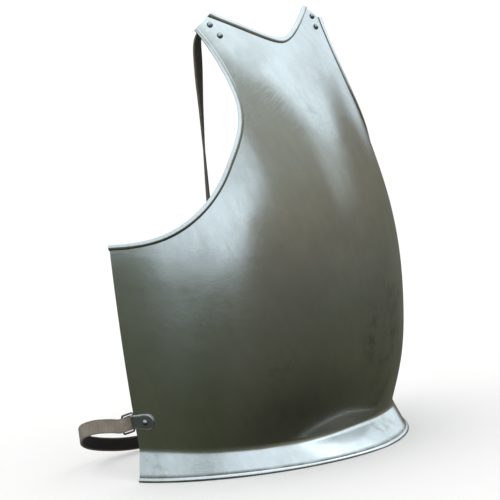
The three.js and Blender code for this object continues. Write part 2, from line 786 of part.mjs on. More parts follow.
function waistStations() {
  const places = [];
  const tail = WAIST_TAIL.map(({ back, proud, height }) => {
    const { point } = sidePlace(-back, proud, TAB_HEIGHT);
    return new THREE.Vector3(point.x, point.y, height);
  });
  places.push(...tail.map(mirrored));
  places.push(...WAIST_LOOP.map(({ x, y, height }) => new THREE.Vector3(x, y, height)));
  places.push(...[...tail].reverse());
  const route = new THREE.CatmullRomCurve3(places, false, 'centripetal');
  const up = new THREE.Vector3(0, 0, 1);
  const count = 72;
  return route.getSpacedPoints(count).map((point, i) => {
    const along = route.getTangentAt(i / count);
    const face = new THREE.Vector3().crossVectors(up, along).normalize();
    const across = new THREE.Vector3().crossVectors(along, face).normalize();
    return { point, across, face, half: STRAP_WIDTH / 2, thick: WAIST_THICK };
  });
}

// ---- assembly -----------------------------------------------------------------------------

const steel = new THREE.MeshStandardMaterial({ color: 0xaab0b2, roughness: 0.28, metalness: 1 });
const rivetSteel = new THREE.MeshStandardMaterial({ color: 0x8f9496, roughness: 0.35, metalness: 1 });
const wireSteel = new THREE.MeshStandardMaterial({ color: 0x7d8285, roughness: 0.4, metalness: 1 });
const leather = new THREE.MeshStandardMaterial({ color: 0x5a4f42, roughness: 0.75, metalness: 0 });

const assembly = new THREE.Group();

function add(name, geometry, material) {
  const mesh = new THREE.Mesh(geometry, material.clone());
  mesh.name = name;
  assembly.add(mesh);
}

function mirroredStations(stations) {
  return stations.map((station) => ({
    ...station,
    point: mirrored(station.point),
    across: mirrored(station.across),
    face: mirrored(station.face),
  }));
}

const SIDES = [
  { name: 'left', sign: 1 },
  { name: 'right', sign: -1 },
];

const plateCutters = [];

for (const { name, sign } of SIDES) {
  const toSide = sign > 0 ? (v) => v.clone() : mirrored;
  const sided = sign > 0 ? (stations) => stations : mirroredStations;

  const holes = [];
  const recesses = [];
  for (const { name: place, halfWidth, height } of SHOULDER_RIVETS) {
    const turn = turnAt(halfWidth, height);
    const point = toSide(surface(turn, height));
    const normal = toSide(outward(turn, height));
    const grip = SHEET + SHOULDER_THICK + 3 * GAP;
    add(`shoulder_rivet_${name}_${place}`, rivetGeometry(point, normal, grip), rivetSteel);
    holes.push(holeCutter(point, normal));
    recesses.push(tailCutter(point, normal, grip));
  }
  plateCutters.push(...holes);
  const strap = ribbonGeometry(sided(shoulderStations()));
  add(`shoulder_strap_${name}`, cut(strap, [...holes, ...recesses]), leather);

  const { point, normal } = sidePlace(TAB_RIVET, 0, TAB_HEIGHT);
  const out = toSide(normal);
  const outerFace = SHEET_MIDDLE + LEAF_OFFSET + TAB_SHEET / 2;
  const head = moved(toSide(point), [out, outerFace]);
  const grip = outerFace * 2 + SHEET + GAP;
  add(`tab_rivet_${name}`, rivetGeometry(head, out, grip), rivetSteel);
  const tabCutter = holeCutter(head, out);
  plateCutters.push(tabCutter);
  add(`side_tab_${name}`, cut(ribbonGeometry(sided(tabStations())), [tabCutter]), wireSteel);
  add(`buckle_frame_${name}`, frameGeometry(sign), wireSteel);
}

add('breastplate', cut(plateGeometry(), plateCutters), steel);
add('waist_strap', ribbonGeometry(waistStations()), leather);

// The origin is the bottom centre of everything, so the whole is moved forwards.
const bounds = new THREE.Box3().setFromObject(assembly);
const centre = bounds.getCenter(new THREE.Vector3());
assembly.position.set(-centre.x, -centre.y, -bounds.min.z);
assembly.updateMatrixWorld(true);

const group = new THREE.Group();
group.add(assembly);

export default group;
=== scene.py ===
"""A raised steel breastplate with leather shoulder straps and a leather waist strap,
standing on its lower rim. Lengths in the tables are millimetres, with the plate's side
edges at y = 0; pieces are made in metres, in the frame's own place."""

import math

import bmesh
import bpy
import numpy as np
from mathutils import Matrix, Vector


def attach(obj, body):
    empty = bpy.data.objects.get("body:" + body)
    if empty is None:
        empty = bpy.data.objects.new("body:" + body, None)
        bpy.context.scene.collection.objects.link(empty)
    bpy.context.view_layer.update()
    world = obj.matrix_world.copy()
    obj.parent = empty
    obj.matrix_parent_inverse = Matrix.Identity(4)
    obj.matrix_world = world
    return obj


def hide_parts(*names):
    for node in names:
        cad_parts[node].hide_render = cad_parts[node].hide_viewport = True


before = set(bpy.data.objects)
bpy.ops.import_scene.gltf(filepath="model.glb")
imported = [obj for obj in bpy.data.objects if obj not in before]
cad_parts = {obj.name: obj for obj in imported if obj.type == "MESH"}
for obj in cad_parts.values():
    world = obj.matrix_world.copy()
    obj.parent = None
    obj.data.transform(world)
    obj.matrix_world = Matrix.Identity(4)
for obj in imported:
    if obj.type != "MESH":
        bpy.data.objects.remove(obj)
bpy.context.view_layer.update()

MM = 0.001
SIDE_EDGE_Y = 32.4        # where the plate's side edges stand in the frame


# ---- camera ---------------------------------------------------------------------------

CAMERA = {
    "from_front": 51.98,      # degrees round to the wearer's right
    "above": 4.46,            # degrees above level
    "roll": 7.24,             # degrees that the view leans
    "distance": 1.87,
    "lens": 130.7,
    "middle": (0, -0.0276, 0.230),
    "aim_right": -0.0123,     # from the plate's middle to the centre of the view
    "aim_up": -0.0255,
}


def make_camera():
    turn = math.radians(CAMERA["from_front"])
    tilt = math.radians(CAMERA["above"])
    roll = math.radians(CAMERA["roll"])
    level = Vector((math.cos(turn), -math.sin(turn), 0))
    ahead = Vector((math.sin(turn) * math.cos(tilt), math.cos(turn) * math.cos(tilt), -math.sin(tilt)))
    upright = level.cross(ahead)
    right = level * math.cos(roll) - upright * math.sin(roll)
    up = level * math.sin(roll) + upright * math.cos(roll)
    middle = Vector(CAMERA["middle"])
    place = middle - ahead * CAMERA["distance"]
    target = middle + right * CAMERA["aim_right"] + up * CAMERA["aim_up"]
    look = (target - place).normalized()
    side = look.cross(up).normalized()
    top = side.cross(look)
    data = bpy.data.cameras.new("viewer")
    data.lens = CAMERA["lens"]
    data.sensor_width = 36
    camera = bpy.data.objects.new("viewer", data)
    bpy.context.collection.objects.link(camera)
    turned = Matrix((side, top, -look)).transposed()
    camera.matrix_world = Matrix.Translation(place) @ turned.to_4x4()
    bpy.context.scene.camera = camera


make_camera()


# ---- the plate's driving dimensions ---------------------------------------------------

SHEET = 1.5
ROUNDNESS = 2.25

SECTIONS = [
    # height, half width, depth, set back
    (20, 163, 148, 0),
    (75, 166.5, 172, 0),
    (130, 168.5, 183, 0),
    (190, 169, 186, 0),
    (250, 167.5, 178.5, 0),
    (310, 164.5, 161.5, 0),
    (370, 171.5, 137.5, 0.5),
    (430, 194, 116.5, 10.5),
    (470, 228, 101, 19.5),
]

RIM = {"half_width": 170, "depth": 182, "roundness": 1.84}
SEAM = {"side": 31, "front": 22, "fall": 1.5}

ARMHOLE = [
    # height, half width
    (237, 167.9),
    (245, 158),
    (262, 144.5),
    (285, 129.7),
    (310, 116.6),
    (335, 106),
    (361, 99.2),
    (397, 100.2),
    (433, 106.3),
]

NECK = {"notch": 417, "tip": 449, "half_width": 76.3, "softness": 0.22}

EDGE_ROLL = 2.9
HEM_ROLL = 2.4
HEM_CENTRE = 1.9
FLATTENED = 0.42          # how high a roll stands, hammered down, of its full round
SEAM_SOFTNESS = 3.5       # how far the waist seam's bend reaches to each side
TIP_TURN = 14             # a roll turns to the tip's line over the last 1/14 of its edge
SIDE_TURN = 16            # and away from upright over the first 1/16
ROLL_WEAR = 0.7           # wear on a roll's crest, where a cut edge has 1
CREVICE_SHADE_FADE = 2.4           # points of a roll over which the painted shade of its crevice fades

CORNER_MIDDLE = 205       # height in the middle of the row that starts at the side corner
NECK_SHARE = 0.7          # share of the top row that the neck takes
NECK_BLEND = 0.5          # share of the chest's rows above which they follow the neck
NEAR_ROLL = [0.002, 0.006]  # shares at which the last step before a roll is parted

COLUMNS = 86              # mesh cells from the middle to a side edge
FLANGE_ROWS = 6
SEAM_ROWS = 8
BODY_ROWS = 44
CHEST_ROWS = 92
ROLL_POINTS = 14


# ---- general helpers ------------------------------------------------------------------

def spline(keys, values):
    """Natural cubic spline, for one key or an array of them."""
    keys = np.array(keys, float)
    values = np.array(values, float)
    last = len(keys) - 1
    step = np.diff(keys)
    slope = np.diff(values) / step
    matrix = np.eye(last + 1)
    right = np.zeros(last + 1)
    for i in range(1, last):
        matrix[i, i - 1] = step[i - 1]
        matrix[i, i] = 2 * (step[i - 1] + step[i])
        matrix[i, i + 1] = step[i]
        right[i] = 6 * (slope[i] - slope[i - 1])
    bend = np.linalg.solve(matrix, right)

    def at(key):
        key = np.asarray(key, float)
        i = np.clip(np.searchsorted(keys, key) - 1, 0, last - 1)
        span = keys[i + 1] - keys[i]
        ahead = (key - keys[i]) / span
        behind = 1 - ahead
        curve = (behind ** 3 - behind) * bend[i] + (ahead ** 3 - ahead) * bend[i + 1]
        return behind * values[i] + ahead * values[i + 1] + curve * span * span / 6

    return at


def column(table, place):
    return spline([row[0] for row in table], [row[place] for row in table])


def signed_power(base, exponent):
    return np.sign(base) * np.abs(base) ** exponent


def mix(a, b, share):
    return a + (b - a) * share


def smooth(share):
    s = np.clip(share, 0, 1)
    return s * s * (3 - 2 * s)


def unit(vectors):
    return vectors / np.linalg.norm(vectors, axis=-1, keepdims=True)


def mirrored(vectors):
    return vectors * np.array([-1.0, 1, 1])


def in_frame(points):
    """Millimetres of the tables to metres of the frame."""
    return (np.asarray(points, float) + [0, SIDE_EDGE_Y, 0]) * MM


# ---- the plate's surface --------------------------------------------------------------

half_width_at = column(SECTIONS, 1)
depth_at = column(SECTIONS, 2)
set_back_at = column(SECTIONS, 3)


def ring(turn, half_width, depth, roundness, set_back, height):
    x = half_width * signed_power(np.cos(turn), 2 / roundness)
    y = set_back - depth * signed_power(np.sin(turn), 2 / roundness)
    return np.stack(np.broadcast_arrays(x, y, height), -1)


def section(turn, height):
    return ring(turn, half_width_at(height), depth_at(height), ROUNDNESS, set_back_at(height), height)


def rim_line(turn):
    return ring(turn, RIM["half_width"], RIM["depth"], RIM["roundness"], 0, 0.0)


def seam_height(turn):
    return mix(SEAM["side"], SEAM["front"], np.abs(np.sin(turn)) ** SEAM["fall"])


def folded(turn, height):
    """The surface with a sharp waist seam."""
    seam = seam_height(turn)
    share = np.minimum(height / seam, 1)[..., None]
    flange = mix(rim_line(turn), section(turn, seam), share)
    return np.where((height >= seam)[..., None], section(turn, np.maximum(height, seam)), flange)


def surface(turn, height):
    """A point of the outer surface; turn runs from 0 at the wearer's left edge to pi."""
    turn, height = np.broadcast_arrays(np.asarray(turn, float), np.asarray(height, float))
    seam = seam_height(turn)
    share = np.clip((height - seam + SEAM_SOFTNESS) / (2 * SEAM_SOFTNESS), 0, 1)[..., None]
    below = folded(turn, seam - SEAM_SOFTNESS)
    above = folded(turn, seam + SEAM_SOFTNESS)
    bend = below * (1 - share) ** 2 + folded(turn, seam) * 2 * share * (1 - share) + above * share ** 2
    near = (np.abs(height - seam) < SEAM_SOFTNESS)[..., None]
    return np.where(near, bend, folded(turn, height))


def outward(turn, height):
    step = 0.01
    rise = 0.5
    low = np.clip(turn, step, np.pi - step)
    across = unit(surface(low + step, height) - surface(low - step, height))
    up = unit(surface(turn, height + rise) - surface(turn, height - rise))
    return unit(np.cross(up, across))


def turn_at(x, height):
    share = np.minimum(np.abs(x) / half_width_at(height), 1)
    turn = np.arccos(share ** (ROUNDNESS / 2))
    return np.where(x >= 0, turn, np.pi - turn)


# ---- the plate's edges, on the wearer's left ------------------------------------------

armhole_heights = np.array([row[0] for row in ARMHOLE], float)
armhole_turns = turn_at(np.array([row[1] for row in ARMHOLE], float), armhole_heights)
armhole_steps = np.linalg.norm(np.diff(surface(armhole_turns, armhole_heights), axis=0), axis=-1)
armhole_travel = np.concatenate([[0], np.cumsum(armhole_steps)])
armhole_turn_at = spline(armhole_travel, armhole_turns)
armhole_height_at = spline(armhole_travel, armhole_heights)


def armhole_edge(share):
    travel = share * armhole_travel[-1]
    return surface(np.maximum(armhole_turn_at(travel), 0), armhole_height_at(travel))


def neck_edge(share):
    soft = NECK["softness"]
    reach = math.hypot(1, soft) - soft
    rise = (np.hypot(share, soft) - soft) / reach
    height = mix(NECK["notch"], NECK["tip"], rise)
    return surface(turn_at(share * NECK["half_width"], height), height)


def roll_reach(radius):
    """From the outermost point of a roll to the line where it meets the outer face."""
    return radius + math.sqrt(radius ** 2 - (radius - SHEET) ** 2)


tip_outer = armhole_edge(1.0)
tip_inner = neck_edge(1.0)
tip_line = unit(tip_outer - tip_inner)


def rolled_edge(edge, share, out_sign, tip_way):
    """A point on the edge and the way out across it, turning to the tip's line near the tip."""
    step = 0.01
    point = edge(share)
    along = unit(edge(np.minimum(share + step, 1)) - edge(np.maximum(share - step, 0)))
    normal = outward(turn_at(point[..., 0], point[..., 2]), point[..., 2])
    plain = unit(np.cross(normal, along)) * out_sign
    stretch = 1 / max(float(tip_way @ plain[-1]), 0.5)
    to_tip = np.clip((share - 1) * TIP_TURN + 1, 0, 1)[..., None]
    return point, mix(plain, tip_way * stretch, to_tip)


def rooted(point, out):
    root = point - out * roll_reach(EDGE_ROLL)
    return turn_at(root[..., 0], root[..., 2]), root[..., 2], out


def armhole_stations(share):
    point, out = rolled_edge(armhole_edge, share, -1, tip_line)
    from_side = np.clip(share * SIDE_TURN, 0, 1)[..., None]
    out = mix(np.array([0, 0, 1.0]), out, from_side)
    turn, height, out = rooted(point, out)
    return np.where(share == 0, 0, turn), height, out


def neck_stations(share):
    return rooted(*rolled_edge(neck_edge, share, 1, -tip_line))


def rim_stations(turn):
    foot = rim_line(turn)
    out = unit(foot - section(turn, seam_height(turn)))
    normal = outward(turn, np.full_like(turn, SEAM["front"] / 2))
    centre = -HEM_ROLL * out[..., 2] + (HEM_ROLL - SHEET) * normal[..., 2]
    shift = (centre - HEM_CENTRE) / -out[..., 2]
    return (roll_reach(HEM_ROLL) - shift) * -out[..., 2], out


# ---- the plate's mesh -----------------------------------------------------------------

def close_steps(count, near):
    """Even shares from 0 to 1, with the last step parted again close to its end."""
    even = np.linspace(0, 1, count + 1)
    return np.concatenate([even[:-1], 1 - np.array(near)[::-1], [1]])


reaches = np.unique(np.append(close_steps(COLUMNS, NEAR_ROLL), NECK_SHARE))
neck_steps = int(np.flatnonzero(reaches == NECK_SHARE)[0])
chest_shares = close_steps(CHEST_ROWS, NEAR_ROLL)


def left_grid():
    """Turn and height over the wearer's left half; column 0 is the middle."""
    middle_turn = np.pi / 2
    reach = reaches[None, :]
    turn = middle_turn * (1 - reach)
    seam = seam_height(turn)
    foot = rim_stations(turn[0])[0][None, :]
    armhole_turn, armhole_height, _ = armhole_stations(chest_shares)
    corner = mix(CORNER_MIDDLE, armhole_height[0], reach ** 2)
    blocks = []
    for low, high, rows in (
        (foot, seam - SEAM_SOFTNESS, FLANGE_ROWS),
        (seam - SEAM_SOFTNESS, seam + SEAM_SOFTNESS, SEAM_ROWS),
        (seam + SEAM_SOFTNESS, corner, BODY_ROWS),
    ):
        share = (np.arange(rows) / rows)[:, None]
        heights = mix(low, high, share)
        blocks.append((np.broadcast_to(turn, heights.shape), heights))
    share = chest_shares[:, None]
    _, notch_height, _ = neck_stations(np.array([0.0, 1.0]))
    middle = mix(CORNER_MIDDLE, notch_height[0], share)
    plain = mix(middle, armhole_height[:, None], reach ** 2)
    plain_top = mix(notch_height[0], armhole_height[-1], reach ** 2)
    top_turn, top_height = top_row(armhole_turn[-1], armhole_height[-1])
    follow = smooth((share - NECK_BLEND) / (1 - NECK_BLEND))
    side = mix(middle_turn, armhole_turn[:, None], reach)
    blocks.append((mix(side, top_turn[None, :], follow), plain + follow * (top_height[None, :] - plain_top)))
    return np.concatenate([b[0] for b in blocks]), np.concatenate([b[1] for b in blocks])


def top_row(outer_turn, outer_height):
    """The neck, then the shoulder tip's straight edge."""
    on_neck = reaches <= NECK_SHARE
    neck_turn, neck_height, _ = neck_stations(np.minimum(reaches / NECK_SHARE, 1))
    inner = surface(neck_turn[neck_steps], neck_height[neck_steps])
    outer = surface(outer_turn, outer_height)
    share = ((reaches - NECK_SHARE) / (1 - NECK_SHARE))[:, None]
    line = mix(inner, outer, share)
    turn = np.where(on_neck, neck_turn, turn_at(line[:, 0], line[:, 2]))
    return turn, np.where(on_neck, neck_height, line[:, 2])


def plain_profile(point, normal):
    """Down the thickness of the sheet at a cut edge, in a straight line."""
    depth = np.arange(1, ROLL_POINTS + 1) / (ROLL_POINTS + 1)
    return [point - normal * SHEET * d for d in depth]


def rolled_profile(point, normal, out, radius):
    """The sheet curls outwards and back onto its own outer face."""
    centre_out = math.sqrt(radius ** 2 - (radius - SHEET) ** 2)
    centre_up = radius - SHEET
    start = math.pi + math.asin(centre_up / radius)
    profile = []
    for angle in mix(start, -math.pi / 2, np.arange(1, ROLL_POINTS + 1) / ROLL_POINTS):
        ahead = centre_out + radius * math.cos(angle)
        up = centre_up + radius * math.sin(angle)
        flat = up * FLATTENED if up > 0 else up
        profile.append(point + out * ahead + normal * flat)
    return profile


def plate_stations(outer, normals, chest_row):
    """Round the plate's border: row and column of the grid, profile points, wear on them."""
    rows = outer.shape[0]
    half = len(reaches) - 1
    top = rows - 1
    foot_turn = np.pi / 2 * (1 - reaches)
    hem_out = rim_stations(foot_turn)[1]
    arm_out = armhole_stations(chest_shares)[2]
    neck_out = neck_stations(np.minimum(reaches / NECK_SHARE, 1))[2]
    crest = ROLL_WEAR * np.sin(np.linspace(0, np.pi, ROLL_POINTS + 2))[1:-1]
    cut = np.ones(ROLL_POINTS)

    def at(row, col):
        return outer[row, col + half], normals[row, col + half]

    def out_of(table, place, col):
        return mirrored(table[place]) if col < 0 else table[place]

    stations = []
    for col in range(-half, half + 1):
        profile = np.array(rolled_profile(*at(0, col), out_of(hem_out, abs(col), col), HEM_ROLL))
        profile[:, 2] = np.maximum(profile[:, 2], 0)
        stations.append((0, col, profile, crest))
    for row in range(chest_row + 1):
        stations.append((row, half, np.array(plain_profile(*at(row, half))), cut))
    for row in range(chest_row, rows):
        out = arm_out[row - chest_row]
        stations.append((row, half, np.array(rolled_profile(*at(row, half), out, EDGE_ROLL)), crest))
    for col in range(half, neck_steps - 1, -1):
        stations.append((top, col, np.array(plain_profile(*at(top, col))), cut))
    for col in range(neck_steps, -neck_steps - 1, -1):
        out = out_of(neck_out, abs(col), col)
        stations.append((top, col, np.array(rolled_profile(*at(top, col), out, EDGE_ROLL)), crest))
    for col in range(-neck_steps, -half - 1, -1):
        stations.append((top, col, np.array(plain_profile(*at(top, col))), cut))
    for row in range(top, chest_row - 1, -1):
        out = mirrored(arm_out[row - chest_row])
        stations.append((row, -half, np.array(rolled_profile(*at(row, -half), out, EDGE_ROLL)), crest))
    for row in range(chest_row, -1, -1):
        stations.append((row, -half, np.array(plain_profile(*at(row, -half))), cut))
    return stations


def make_plate():
    turn, height = left_grid()
    outer = surface(turn, height)
    normals = outward(turn, height)
    outer = np.concatenate([mirrored(outer[:, :0:-1]), outer], 1)
    normals = np.concatenate([mirrored(normals[:, :0:-1]), normals], 1)
    rows, cols = outer.shape[:2]
    half = len(reaches) - 1
    chest_row = FLANGE_ROWS + SEAM_ROWS + BODY_ROWS
    inner = outer - normals * SHEET
    points = [outer.reshape(-1, 3), inner.reshape(-1, 3)]
    within = rows * cols
    index = np.arange(within).reshape(rows, cols)
    a, b = index[:-1, :-1].ravel(), index[:-1, 1:].ravel()
    c, d = index[1:, 1:].ravel(), index[1:, :-1].ravel()
    faces = np.concatenate([np.stack([a, b, c, d], 1), np.stack([d, c, b, a], 1) + within]).tolist()
    edge = [np.zeros(2 * within)]
    fold = [np.zeros(2 * within)]
    stations = plate_stations(outer, normals, chest_row)
    depth = np.clip(1 - np.arange(1, ROLL_POINTS + 1) / CREVICE_SHADE_FADE, 0, 1)
    rails = []
    first = 2 * within
    for row, col, profile, wear in stations:
        points.append(profile)
        edge.append(wear)
        rolled = wear[0] < 1
        # Painted shade: where a roll springs from the sheet, and its first points, take the dark crevice
        # colour.
        fold.append(depth if rolled else np.zeros(ROLL_POINTS))
        start = index[row, col + half]
        if rolled:
            fold[0][start] = 1
        rails.append([start, *range(first, first + ROLL_POINTS), start + within])
        first += ROLL_POINTS
    for rail, after in zip(rails, rails[1:] + rails[:1]):
        for k in range(len(rail) - 1):
            quad = [after[k], rail[k], rail[k + 1], after[k + 1]]
            face = [v for i, v in enumerate(quad) if v != quad[i - 1]]
            if len(set(face)) > 2:
                faces.append(face)
    return make_mesh(
        "polished_plate",
        in_frame(np.concatenate(points)),
        faces,
        {"edge": np.concatenate(edge), "fold": np.concatenate(fold)},
    )


# ---- meshes ---------------------------------------------------------------------------

def make_mesh(name, points, faces, marks, sharp=40):
    """A closed, smooth-shaded piece, with marks that its finish reads."""
    mesh = bpy.data.meshes.new(name)
    mesh.from_pydata(np.asarray(points).tolist(), [], faces)
    for mark, values in marks.items():
        layer = mesh.attributes.new(mark, "FLOAT", "POINT")
        layer.data.foreach_set("value", np.asarray(values, np.float32))
    tidy = bmesh.new()
    tidy.from_mesh(mesh)
    bmesh.ops.remove_doubles(tidy, verts=tidy.verts, dist=1e-6)
    bmesh.ops.recalc_face_normals(tidy, faces=tidy.faces)
    if tidy.calc_volume(signed=True) < 0:
        bmesh.ops.reverse_faces(tidy, faces=tidy.faces)
    tidy.to_mesh(mesh)
    tidy.free()
    mesh.shade_smooth()
    mesh.set_sharp_from_angle(angle=math.radians(sharp))
    piece = bpy.data.objects.new(name, mesh)
    bpy.context.collection.objects.link(piece)
    return piece


def fitted(piece, node, finish):
    """The piece stands for a node of the frame, with that slot's finish."""
    piece.data.materials.append(finish)
    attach(piece, "root")
    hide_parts(node)


def lathe(profile, segments):
    """Points and faces of a turned piece about local Z; the profile runs from axis to axis."""
    angles = 2 * np.pi * np.arange(segments) / segments
    points = [(0, 0, profile[0][1])]
    for radius, height in profile[1:-1]:
        points.extend((radius * math.cos(a), radius * math.sin(a), height) for a in angles)
    points.append((0, 0, profile[-1][1]))
    faces = []
    for k in range(segments):
        m = (k + 1) % segments
        faces.append([0, 1 + k, 1 + m])
        for j in range(len(profile) - 3):
            low = 1 + j * segments
            high = low + segments
            faces.append([low + k, high + k, high + m, low + m])
        last = 1 + (len(profile) - 3) * segments
        faces.append([last + k, len(points) - 1, last + m])
    return np.array(points), faces


# ---- rivets ---------------------------------------------------------------------------

GAP = 0.35
RIVET_SIDES = 32
RIVET = {
    "head": 3.1,
    "rise": 2,
    "rim": 0.96,              # the underside of the head, of its radius
    "rim_drop": 0.15,         # how far that lies below the dome
    "shank": 1.25,
    "tail": 2.5,
}

TAIL_PROFILE = [
    # share of the tail's radius, depth
    (0.9, 0),
    (1, 0.3),
    (0.75, 0.85),
    (0, 1),
]

SHOULDER_RIVETS = {
    "upper": {"half_width": 85.2, "height": 437},
    "lower": {"half_width": 80.2, "height": 425.5},
}


def make_rivet(name, point, normal, grip):
    """A domed head outside, a shank, and a hammered tail inside."""
    head, rise = RIVET["head"], RIVET["rise"]
    profile = []
    for degrees in (90, 80, 70, 60, 50, 40, 30, 20, 10, 0):
        angle = math.radians(degrees)
        profile.append((head * math.cos(angle), GAP + rise * math.sin(angle)))
    domed = len(profile)
    profile.append((head * RIVET["rim"], GAP - RIVET["rim_drop"]))
    profile.append((RIVET["shank"], GAP - RIVET["rim_drop"]))
    profile.append((RIVET["shank"], -grip))
    profile.extend((RIVET["tail"] * share, -grip - depth) for share, depth in TAIL_PROFILE)
    points, faces = lathe(profile, RIVET_SIDES)
    shares = [0.0] + [i / (domed - 1) for i in range(1, domed) for _ in range(RIVET_SIDES)]
    rim = np.array(shares + [1.0] * (len(points) - len(shares)))
    toward = Vector(normal).to_track_quat("Z", "Y").to_matrix()
    turned = points @ np.array(toward).T
    # The crown is marked as worn; the head's rim against the plate is marked for painted shade.
    marks = {"edge": np.clip(1 - rim * 1.3, 0, 1), "fold": np.clip(rim * 3 - 2, 0, 1)}
    return make_mesh(name, in_frame(turned + point), faces, marks)


# ---- ribbons: straps and tabs ---------------------------------------------------------

def strip_section(half, thick, edge_round):
    """Across-and-up places round a flat strip with softened edges, and how near each is to an edge."""
    low = thick / 2
    places = []
    for side, level in ((1, 1), (-1, -1)):
        for share in (-0.8, -0.4, 0, 0.4, 0.8):
            across = -side * share * (half - edge_round)
            places.append((across, level * low, 0))
        for degrees in (90, 67, 45, 22, 0):
            angle = math.radians(degrees)
            across = -side * (half - edge_round + edge_round * math.cos(angle))
            places.append((across, level * (low - edge_round + edge_round * math.sin(angle)), 1))
        for degrees in (22, 45, 67, 90):
            angle = math.radians(degrees)
            across = -side * (half - edge_round + edge_round * math.cos(angle))
            places.append((across, -level * (low - edge_round + edge_round * math.sin(angle)), 1))
    return places


def make_strip(name, stations, edge_round, mirror=False):
    """A flat strip through stations of point, across, face, half width and thickness."""
    points = []
    edge = []
    flesh_side_and_shade = []
    for point, across, face, half, thick in stations:
        soft = min(edge_round, thick * 0.49, half * 0.5)
        for out, up, near in strip_section(half, thick, soft):
            points.append(point + across * out + face * up)
            edge.append(near)
            # Marks the underside; the waist leather gives it a near-black painted shade.
            flesh_side_and_shade.append(smooth(0.5 - up / thick))
    size = len(strip_section(1, 1, 0.1))
    faces = []
    for s in range(len(stations) - 1):
        now = s * size
        for k in range(size):
            m = (k + 1) % size
            faces.append([now + k, now + m, now + size + m, now + size + k])
    last = len(points) - size
    faces.append(list(range(size))[::-1])
    faces.append(list(range(last, last + size)))
    points = np.array(points)
    if mirror:
        points = mirrored(points)
    return make_mesh(name, in_frame(points), faces, {"edge": edge, "flesh_side_and_shade": flesh_side_and_shade}, sharp=50)


def round_end(half, distance):
    inside = max(half - distance, 0)
    return math.sqrt(max(half ** 2 - inside ** 2, (half * 0.1) ** 2))


def refined(stations, factor):
    """More stations, on smooth curves through the given ones."""
    keys = np.arange(len(stations), dtype=float)
    fine = np.linspace(0, keys[-1], (len(stations) - 1) * factor + 1)
    columns = []
    for part in range(5):
        values = np.array([np.atleast_1d(s[part]) for s in stations], float)
        columns.append(np.stack([spline(keys, values[:, i])(fine) for i in range(values.shape[1])], -1))
    point, across, face, half, thick = columns
    across = unit(across)
    face = unit(face - across * np.sum(face * across, -1, keepdims=True))
    return [(point[i], across[i], face[i], float(half[i, 0]), float(thick[i, 0])) for i in range(len(fine))]


# ---- shoulder straps ------------------------------------------------------------------

STRAP_WIDTH = 14.4
STRAP_EDGE = 0.7          # radius of a strap's softened edges
SHOULDER_THICK = 2.2
WAIST_THICK = 2.4

SHOULDER_FALL = [
    # x, y, height, facing in degrees from +X towards -Y
    (89, -79.3, 425, 2),
    (90, -77.4, 405, -10),
    (90, -75.6, 385, -17),
    (90, -74, 365, -24),
    (89.8, -72.4, 345, -31),
    (89.6, -70.8, 325, -37),
    (89.3, -69, 300, -43),
    (89, -67, 270, -48),
    (88.5, -64.5, 230, -52),
    (88, -62.4, 190, -50),
    (87.5, -60.5, 150, -46),
]
SHOULDER_END = (87.2, -59.3, 118)
SHOULDER_TUCK = [34, 33.4, 32, 29, 24, 18, 12, 8, 5.2]  # down from the tip, behind the plate
SHOULDER_BEND = 3.4       # radius at which the strap turns over behind the tip
TIP_CENTRE = 0.42         # where across the tip the strap's middle line runs
HANG_STEPS = 5            # stations for each row of the fall


def on_surface(half_width, height):
    turn = turn_at(half_width, height)
    return surface(turn, height), outward(turn, height)


def shoulder_stations():
    upper, _ = on_surface(**SHOULDER_RIVETS["upper"])
    lower, _ = on_surface(**SHOULDER_RIVETS["lower"])
    way = unit(upper - lower)
    across = tip_line
    tip = upper + way * float((mix(tip_inner, tip_outer, TIP_CENTRE) - upper) @ way)
    depth = SHEET + GAP + SHOULDER_THICK / 2
    half_strap = STRAP_WIDTH / 2
    tucked = []
    for down in SHOULDER_TUCK:
        guess = tip - way * down
        point, normal = on_surface(guess[0], guess[2])
        half = min(round_end(half_strap, SHOULDER_TUCK[0] - down), half_strap)
        tucked.append((point - normal * depth, across, normal, half, SHOULDER_THICK))
    start, _, last_face, _, _ = tucked[-1]
    inward = -last_face
    bend = []
    for degrees in (12, 25, 40, 55, 70, 85, 100, 115, 130, 145):
        angle = math.radians(degrees)
        turned = way * math.sin(angle) + inward * (1 - math.cos(angle))
        point = start + turned * SHOULDER_BEND
        face = way * math.sin(angle) - inward * math.cos(angle)
        bend.append((point, across, face, half_strap, SHOULDER_THICK))
    fall = [bend[-1]]
    for i, row in enumerate(SHOULDER_FALL + [SHOULDER_END]):
        compass = math.radians(SHOULDER_FALL[min(i, len(SHOULDER_FALL) - 1)][3])
        level = np.array([math.cos(compass), math.sin(compass), 0])
        width = unit(mix(level, across, smooth(1 - i / 3)))
        face = -unit(np.cross(width, [0, 0, 1.0]))
        half = STRAP_WIDTH / 4 if row is SHOULDER_END else half_strap
        fall.append((np.array(row[:3], float), width, face, half, SHOULDER_THICK))
    hanging = refined(fall[:-1], HANG_STEPS)
    return tucked + bend + hanging[1:] + refined(fall[-2:], 1)[1:]


# ---- side tabs and frames -------------------------------------------------------------

TAB = {
    "height": 60,
    "half": 8,
    "fold_half": 6.5,
    "sheet": 1.2,
    "length": 25,
    "rivet": 15.5,
    "fold_back": 2,           # from the side edge back to the fold's centre
    "edge": 0.45,
}
FRAME = {"wire": 1, "length": 15, "half": 9.2, "drop": 4.2, "corner": 1.8}

SHEET_MIDDLE = -SHEET / 2
LEAF_OFFSET = SHEET / 2 + GAP + TAB["sheet"] / 2
FOLD_RADIUS = FRAME["wire"] + GAP + TAB["sheet"] / 2


def side_place(ahead, proud, height):
    """A place near the wearer's left side edge, its outward normal and the way up."""
    forward = max(ahead, 0)
    turn = math.asin((forward / float(depth_at(height))) ** (ROUNDNESS / 2))
    normal = outward(turn, float(height))
    point = surface(turn, height) + normal * proud
    point[1] += forward - ahead
    climb = unit(surface(turn, height + 1) - surface(turn, height - 1))
    return point, normal, climb


